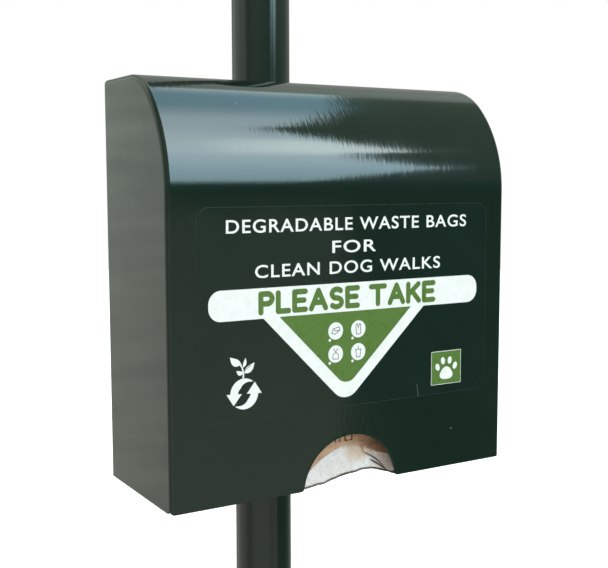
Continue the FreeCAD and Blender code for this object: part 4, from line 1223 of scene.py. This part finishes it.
# The studio's light by its height above the horizon, in degrees over the top from the front to the rear.
# WINDOW_LIGHT, WALL_LIGHT and WINDOW_EDGE began as values that a measuring script read off the reflections
# in a picture of the case, and were then rounded and adjusted by hand. A plain window should replace them.
WINDOW_SCALE = 12.0
WINDOW_LIGHT = [
    (0, (0, 0, 0)), (7, (0, 0, 0)), (9, (1.5, 2.4, 2.6)), (11, (4.0, 6.0, 6.5)), (18, (4.3, 6.6, 7.9)),
    (27, (5.6, 7.8, 8.9)), (34, (6.6, 8.6, 9.5)), (38, (6.9, 8.9, 9.8)), (45, (6.6, 8.6, 9.3)),
    (49, (6.2, 8.1, 8.9)), (60, (5.1, 6.7, 7.5)), (70, (4.2, 5.6, 6.3)), (78, (2.3, 3.6, 4.3)),
    (84, (1.5, 2.7, 3.4)), (97, (1.2, 2.2, 2.9)), (104, (1.6, 2.4, 2.9)), (111, (1.9, 2.6, 2.9)),
    (114, (0.3, 0.3, 0.3)), (118, (0, 0, 0)),
]
WALL_SCALE = 2.0
WALL_LIGHT = [
    (0, (0.12, 0.27, 0.20)), (6, (0.14, 0.34, 0.28)), (12, (0.30, 0.50, 0.40)), (40, (0.36, 0.52, 0.40)),
    (95, (0.34, 0.46, 0.34)), (106, (0.40, 0.50, 0.40)), (112, (0.90, 1.05, 0.92)), (122, (0.85, 1.0, 0.88)),
    (135, (0.60, 0.65, 0.58)), (152, (0.45, 0.48, 0.43)), (170, (0.33, 0.38, 0.33)),
    (180, (0.33, 0.36, 0.32)),
]
# how far to the right the window reaches at each height, as the x of a direction
WINDOW_EDGE = [
    (0, 0.49), (8, 0.50), (11, 0.54), (15, 0.567), (18, 0.593), (22.5, 0.624), (26, 0.598), (29, 0.578),
    (33, 0.561), (36.5, 0.560), (38.5, 0.598), (42, 0.582), (46, 0.553), (51, 0.527), (55, 0.504),
    (59.5, 0.476), (63.5, 0.502), (70, 0.520), (77, 0.533), (85, 0.543), (107, 0.540), (130, 0.520),
]


def make_world():
    """A pale studio: a long window above and in front, uneven tinted walls and a white backdrop."""
    world = bpy.data.worlds.new("studio")
    SCENE.world = world
    world.use_nodes = True
    world.node_tree.nodes.clear()
    s = Nodes(world.node_tree)

    def between(value, low, high, to_low=0.0, to_high=1.0):
        return s.remap(value, low, high, to_low, to_high, interpolation_type="SMOOTHSTEP")

    def times(colour, factor):
        return s.mix(1.0, colour, factor, "MULTIPLY")

    def by_height(stops, scale):
        """Colours above 1 don't fit in a ramp, so they go in as shares of a scale and are multiplied out."""
        shares = [(degrees / 180, tuple(c / scale for c in colour)) for degrees, colour in stops]
        return s.ramp(height, shares)

    direction = s.node("ShaderNodeTexCoord").outputs["Generated"]
    x, y, z = s.node("ShaderNodeSeparateXYZ", {0: direction}).outputs
    forward = s.maths("MULTIPLY", y, -1.0)
    turn = s.maths("ARCTAN2", s.maths("MAXIMUM", z, 0.0), forward)
    height = s.maths("DIVIDE", turn, math.pi, True)

    edge_low, edge_high = 0.4, 0.7
    edges = [(degrees / 180, (edge - edge_low) / (edge_high - edge_low)) for degrees, edge in WINDOW_EDGE]
    edge_x = s.remap(s.ramp(height, edges), 0.0, 1.0, edge_low, edge_high)
    fray = s.node("ShaderNodeTexNoise", {"Vector": direction, "Scale": 60.0, "Detail": 2.0}).outputs["Fac"]
    frayed = s.product(s.maths("SUBTRACT", fray, 0.5), 0.02)
    past_edge = s.maths("ADD", s.maths("SUBTRACT", x, edge_x), frayed)
    short_of_edge = between(past_edge, -0.012, 0.008, 1.0, 0.0)
    inside = s.product(short_of_edge, between(x, 0.10, 0.30), between(z, 0.0, 0.02))
    window = times(times(by_height(WINDOW_LIGHT, WINDOW_SCALE), inside), (WINDOW_SCALE,) * 3)

    glow = s.ramp(height, [(33 / 180, 0.0), (38 / 180, 1.0), (46 / 180, 1.0), (51 / 180, 0.0)])
    glow = times((3.2, 3.2, 2.6), s.product(glow, between(x, 0.40, 0.50), inside))

    low_front = s.product(between(z, -0.018, -0.040), between(forward, 0.0, 0.2))
    low_front = s.product(low_front, between(s.maths("ARCTAN2", x, forward), 0.572, 0.594, 1.0, 0.0))
    low_front = times(s.mix(between(z, -0.04, -0.30), (0.30, 0.30, 0.24), (0.46, 0.44, 0.36)), low_front)

    bands = s.node("ShaderNodeMapping", {"Vector": direction, "Scale": (3.0, 3.0, 22.0)}).outputs[0]
    mottle = s.node("ShaderNodeTexNoise", {"Vector": bands, "Scale": 4.0, "Detail": 5.0}).outputs["Fac"]
    rear = s.product(between(x, -0.05, -0.25), between(y, -0.2, 0.3), between(mottle, 0.3, 0.7, 0.66, 1.22))
    rear = times(s.mix(between(z, -0.26, 0.06), (0.42, 0.41, 0.36), (0.60, 0.70, 0.60)), rear)

    left_front = times((0.15, 0.19, 0.16), s.product(between(x, 0.10, -0.20), between(forward, 0.2, 0.5)))

    path = s.node("ShaderNodeLightPath").outputs
    bounce = times((0.45, 0.45, 0.43), s.product(between(z, 0.0, -0.1), path["Is Diffuse Ray"]))

    colour = times(by_height(WALL_LIGHT, WALL_SCALE), (WALL_SCALE,) * 3)
    for part in (window, glow, low_front, rear, left_front, bounce):
        colour = s.mix(1.0, colour, part, "ADD")

    # a narrow slanting shadow across the light
    slant = s.maths("ADD", s.maths("MULTIPLY", x, 7.33), -0.725)
    off_slant = s.maths("ABSOLUTE", s.maths("SUBTRACT", turn, slant))
    shade = s.product(between(off_slant, 0.12, 0.19, 0.85, 0.0), between(x, 0.470, 0.485, 1.0, 0.0))
    colour = times(colour, s.maths("SUBTRACT", 1.0, s.product(shade, between(x, 0.355, 0.375))))
    colour = times(colour, s.mix(path["Is Diffuse Ray"], (1.0, 1.0, 1.0), (1.08, 0.78, 0.785)))

    studio = s.node("ShaderNodeBackground", {"Color": colour, "Strength": 1.0})
    white = s.node("ShaderNodeBackground", {"Color": (1, 1, 1, 1), "Strength": 1.0})
    choice = {0: path["Is Camera Ray"], 1: studio.outputs[0], 2: white.outputs[0]}
    both = s.node("ShaderNodeMixShader", choice)
    s.node("ShaderNodeOutputWorld", {0: both.outputs[0]})


FLOOR_R = 4.0
FLOOR_SIDES = 96


def make_floor():
    """A pale round floor, which stays out of reflections and of bounced light."""
    s = Shader("pale_floor", Roughness=0.9, Emission_Strength=0.55)
    s.principled.inputs["Emission Color"].default_value = (1, 1, 1, 1)
    tone = s.mix(s.noise(3.0, 2.0), (0.86, 0.86, 0.86), (0.88, 0.88, 0.88))
    s.use(Base_Color=tone)
    rim = [(x, y, 0.0) for x, y in disc(0.0, 0.0, FLOOR_R, FLOOR_SIDES)]
    mesh = mesh_from("floor", rim, [tuple(range(FLOOR_SIDES))], smooth=False)
    floor = bpy.data.objects.new("floor", mesh)
    SCENE.collection.objects.link(floor)
    mesh.materials.append(s.material)
    floor.visible_glossy = False
    floor.visible_diffuse = False


CAMERA_PLACE = (-0.5126, -0.9467, 0.4449)
CAMERA_YAW = math.radians(30.82)
CAMERA_PITCH = math.radians(-5.92)
CAMERA_ROLL = math.radians(-0.11)
CAMERA_LENS = 59.85
SENSOR_WIDTH = 36.0


def make_camera():
    """The camera, to the left of the case and looking slightly down at it."""
    yaw, pitch, roll = CAMERA_YAW, CAMERA_PITCH, CAMERA_ROLL
    forward = Vector((math.sin(yaw) * math.cos(pitch), math.cos(yaw) * math.cos(pitch), math.sin(pitch)))
    right = Vector((math.cos(yaw), -math.sin(yaw), 0.0))
    up = right.cross(forward)
    right_rolled = right * math.cos(roll) + up * math.sin(roll)
    up_rolled = right_rolled.cross(forward)
    data = bpy.data.cameras.new("camera")
    data.lens = CAMERA_LENS
    data.sensor_width = SENSOR_WIDTH
    camera = bpy.data.objects.new("camera", data)
    SCENE.collection.objects.link(camera)
    axes = Matrix((right_rolled, up_rolled, -forward)).transposed().to_4x4()
    camera.matrix_world = Matrix.Translation(CAMERA_PLACE) @ axes
    SCENE.camera = camera


make_world()
make_floor()
make_camera()
SCENE.view_settings.view_transform = "Standard"
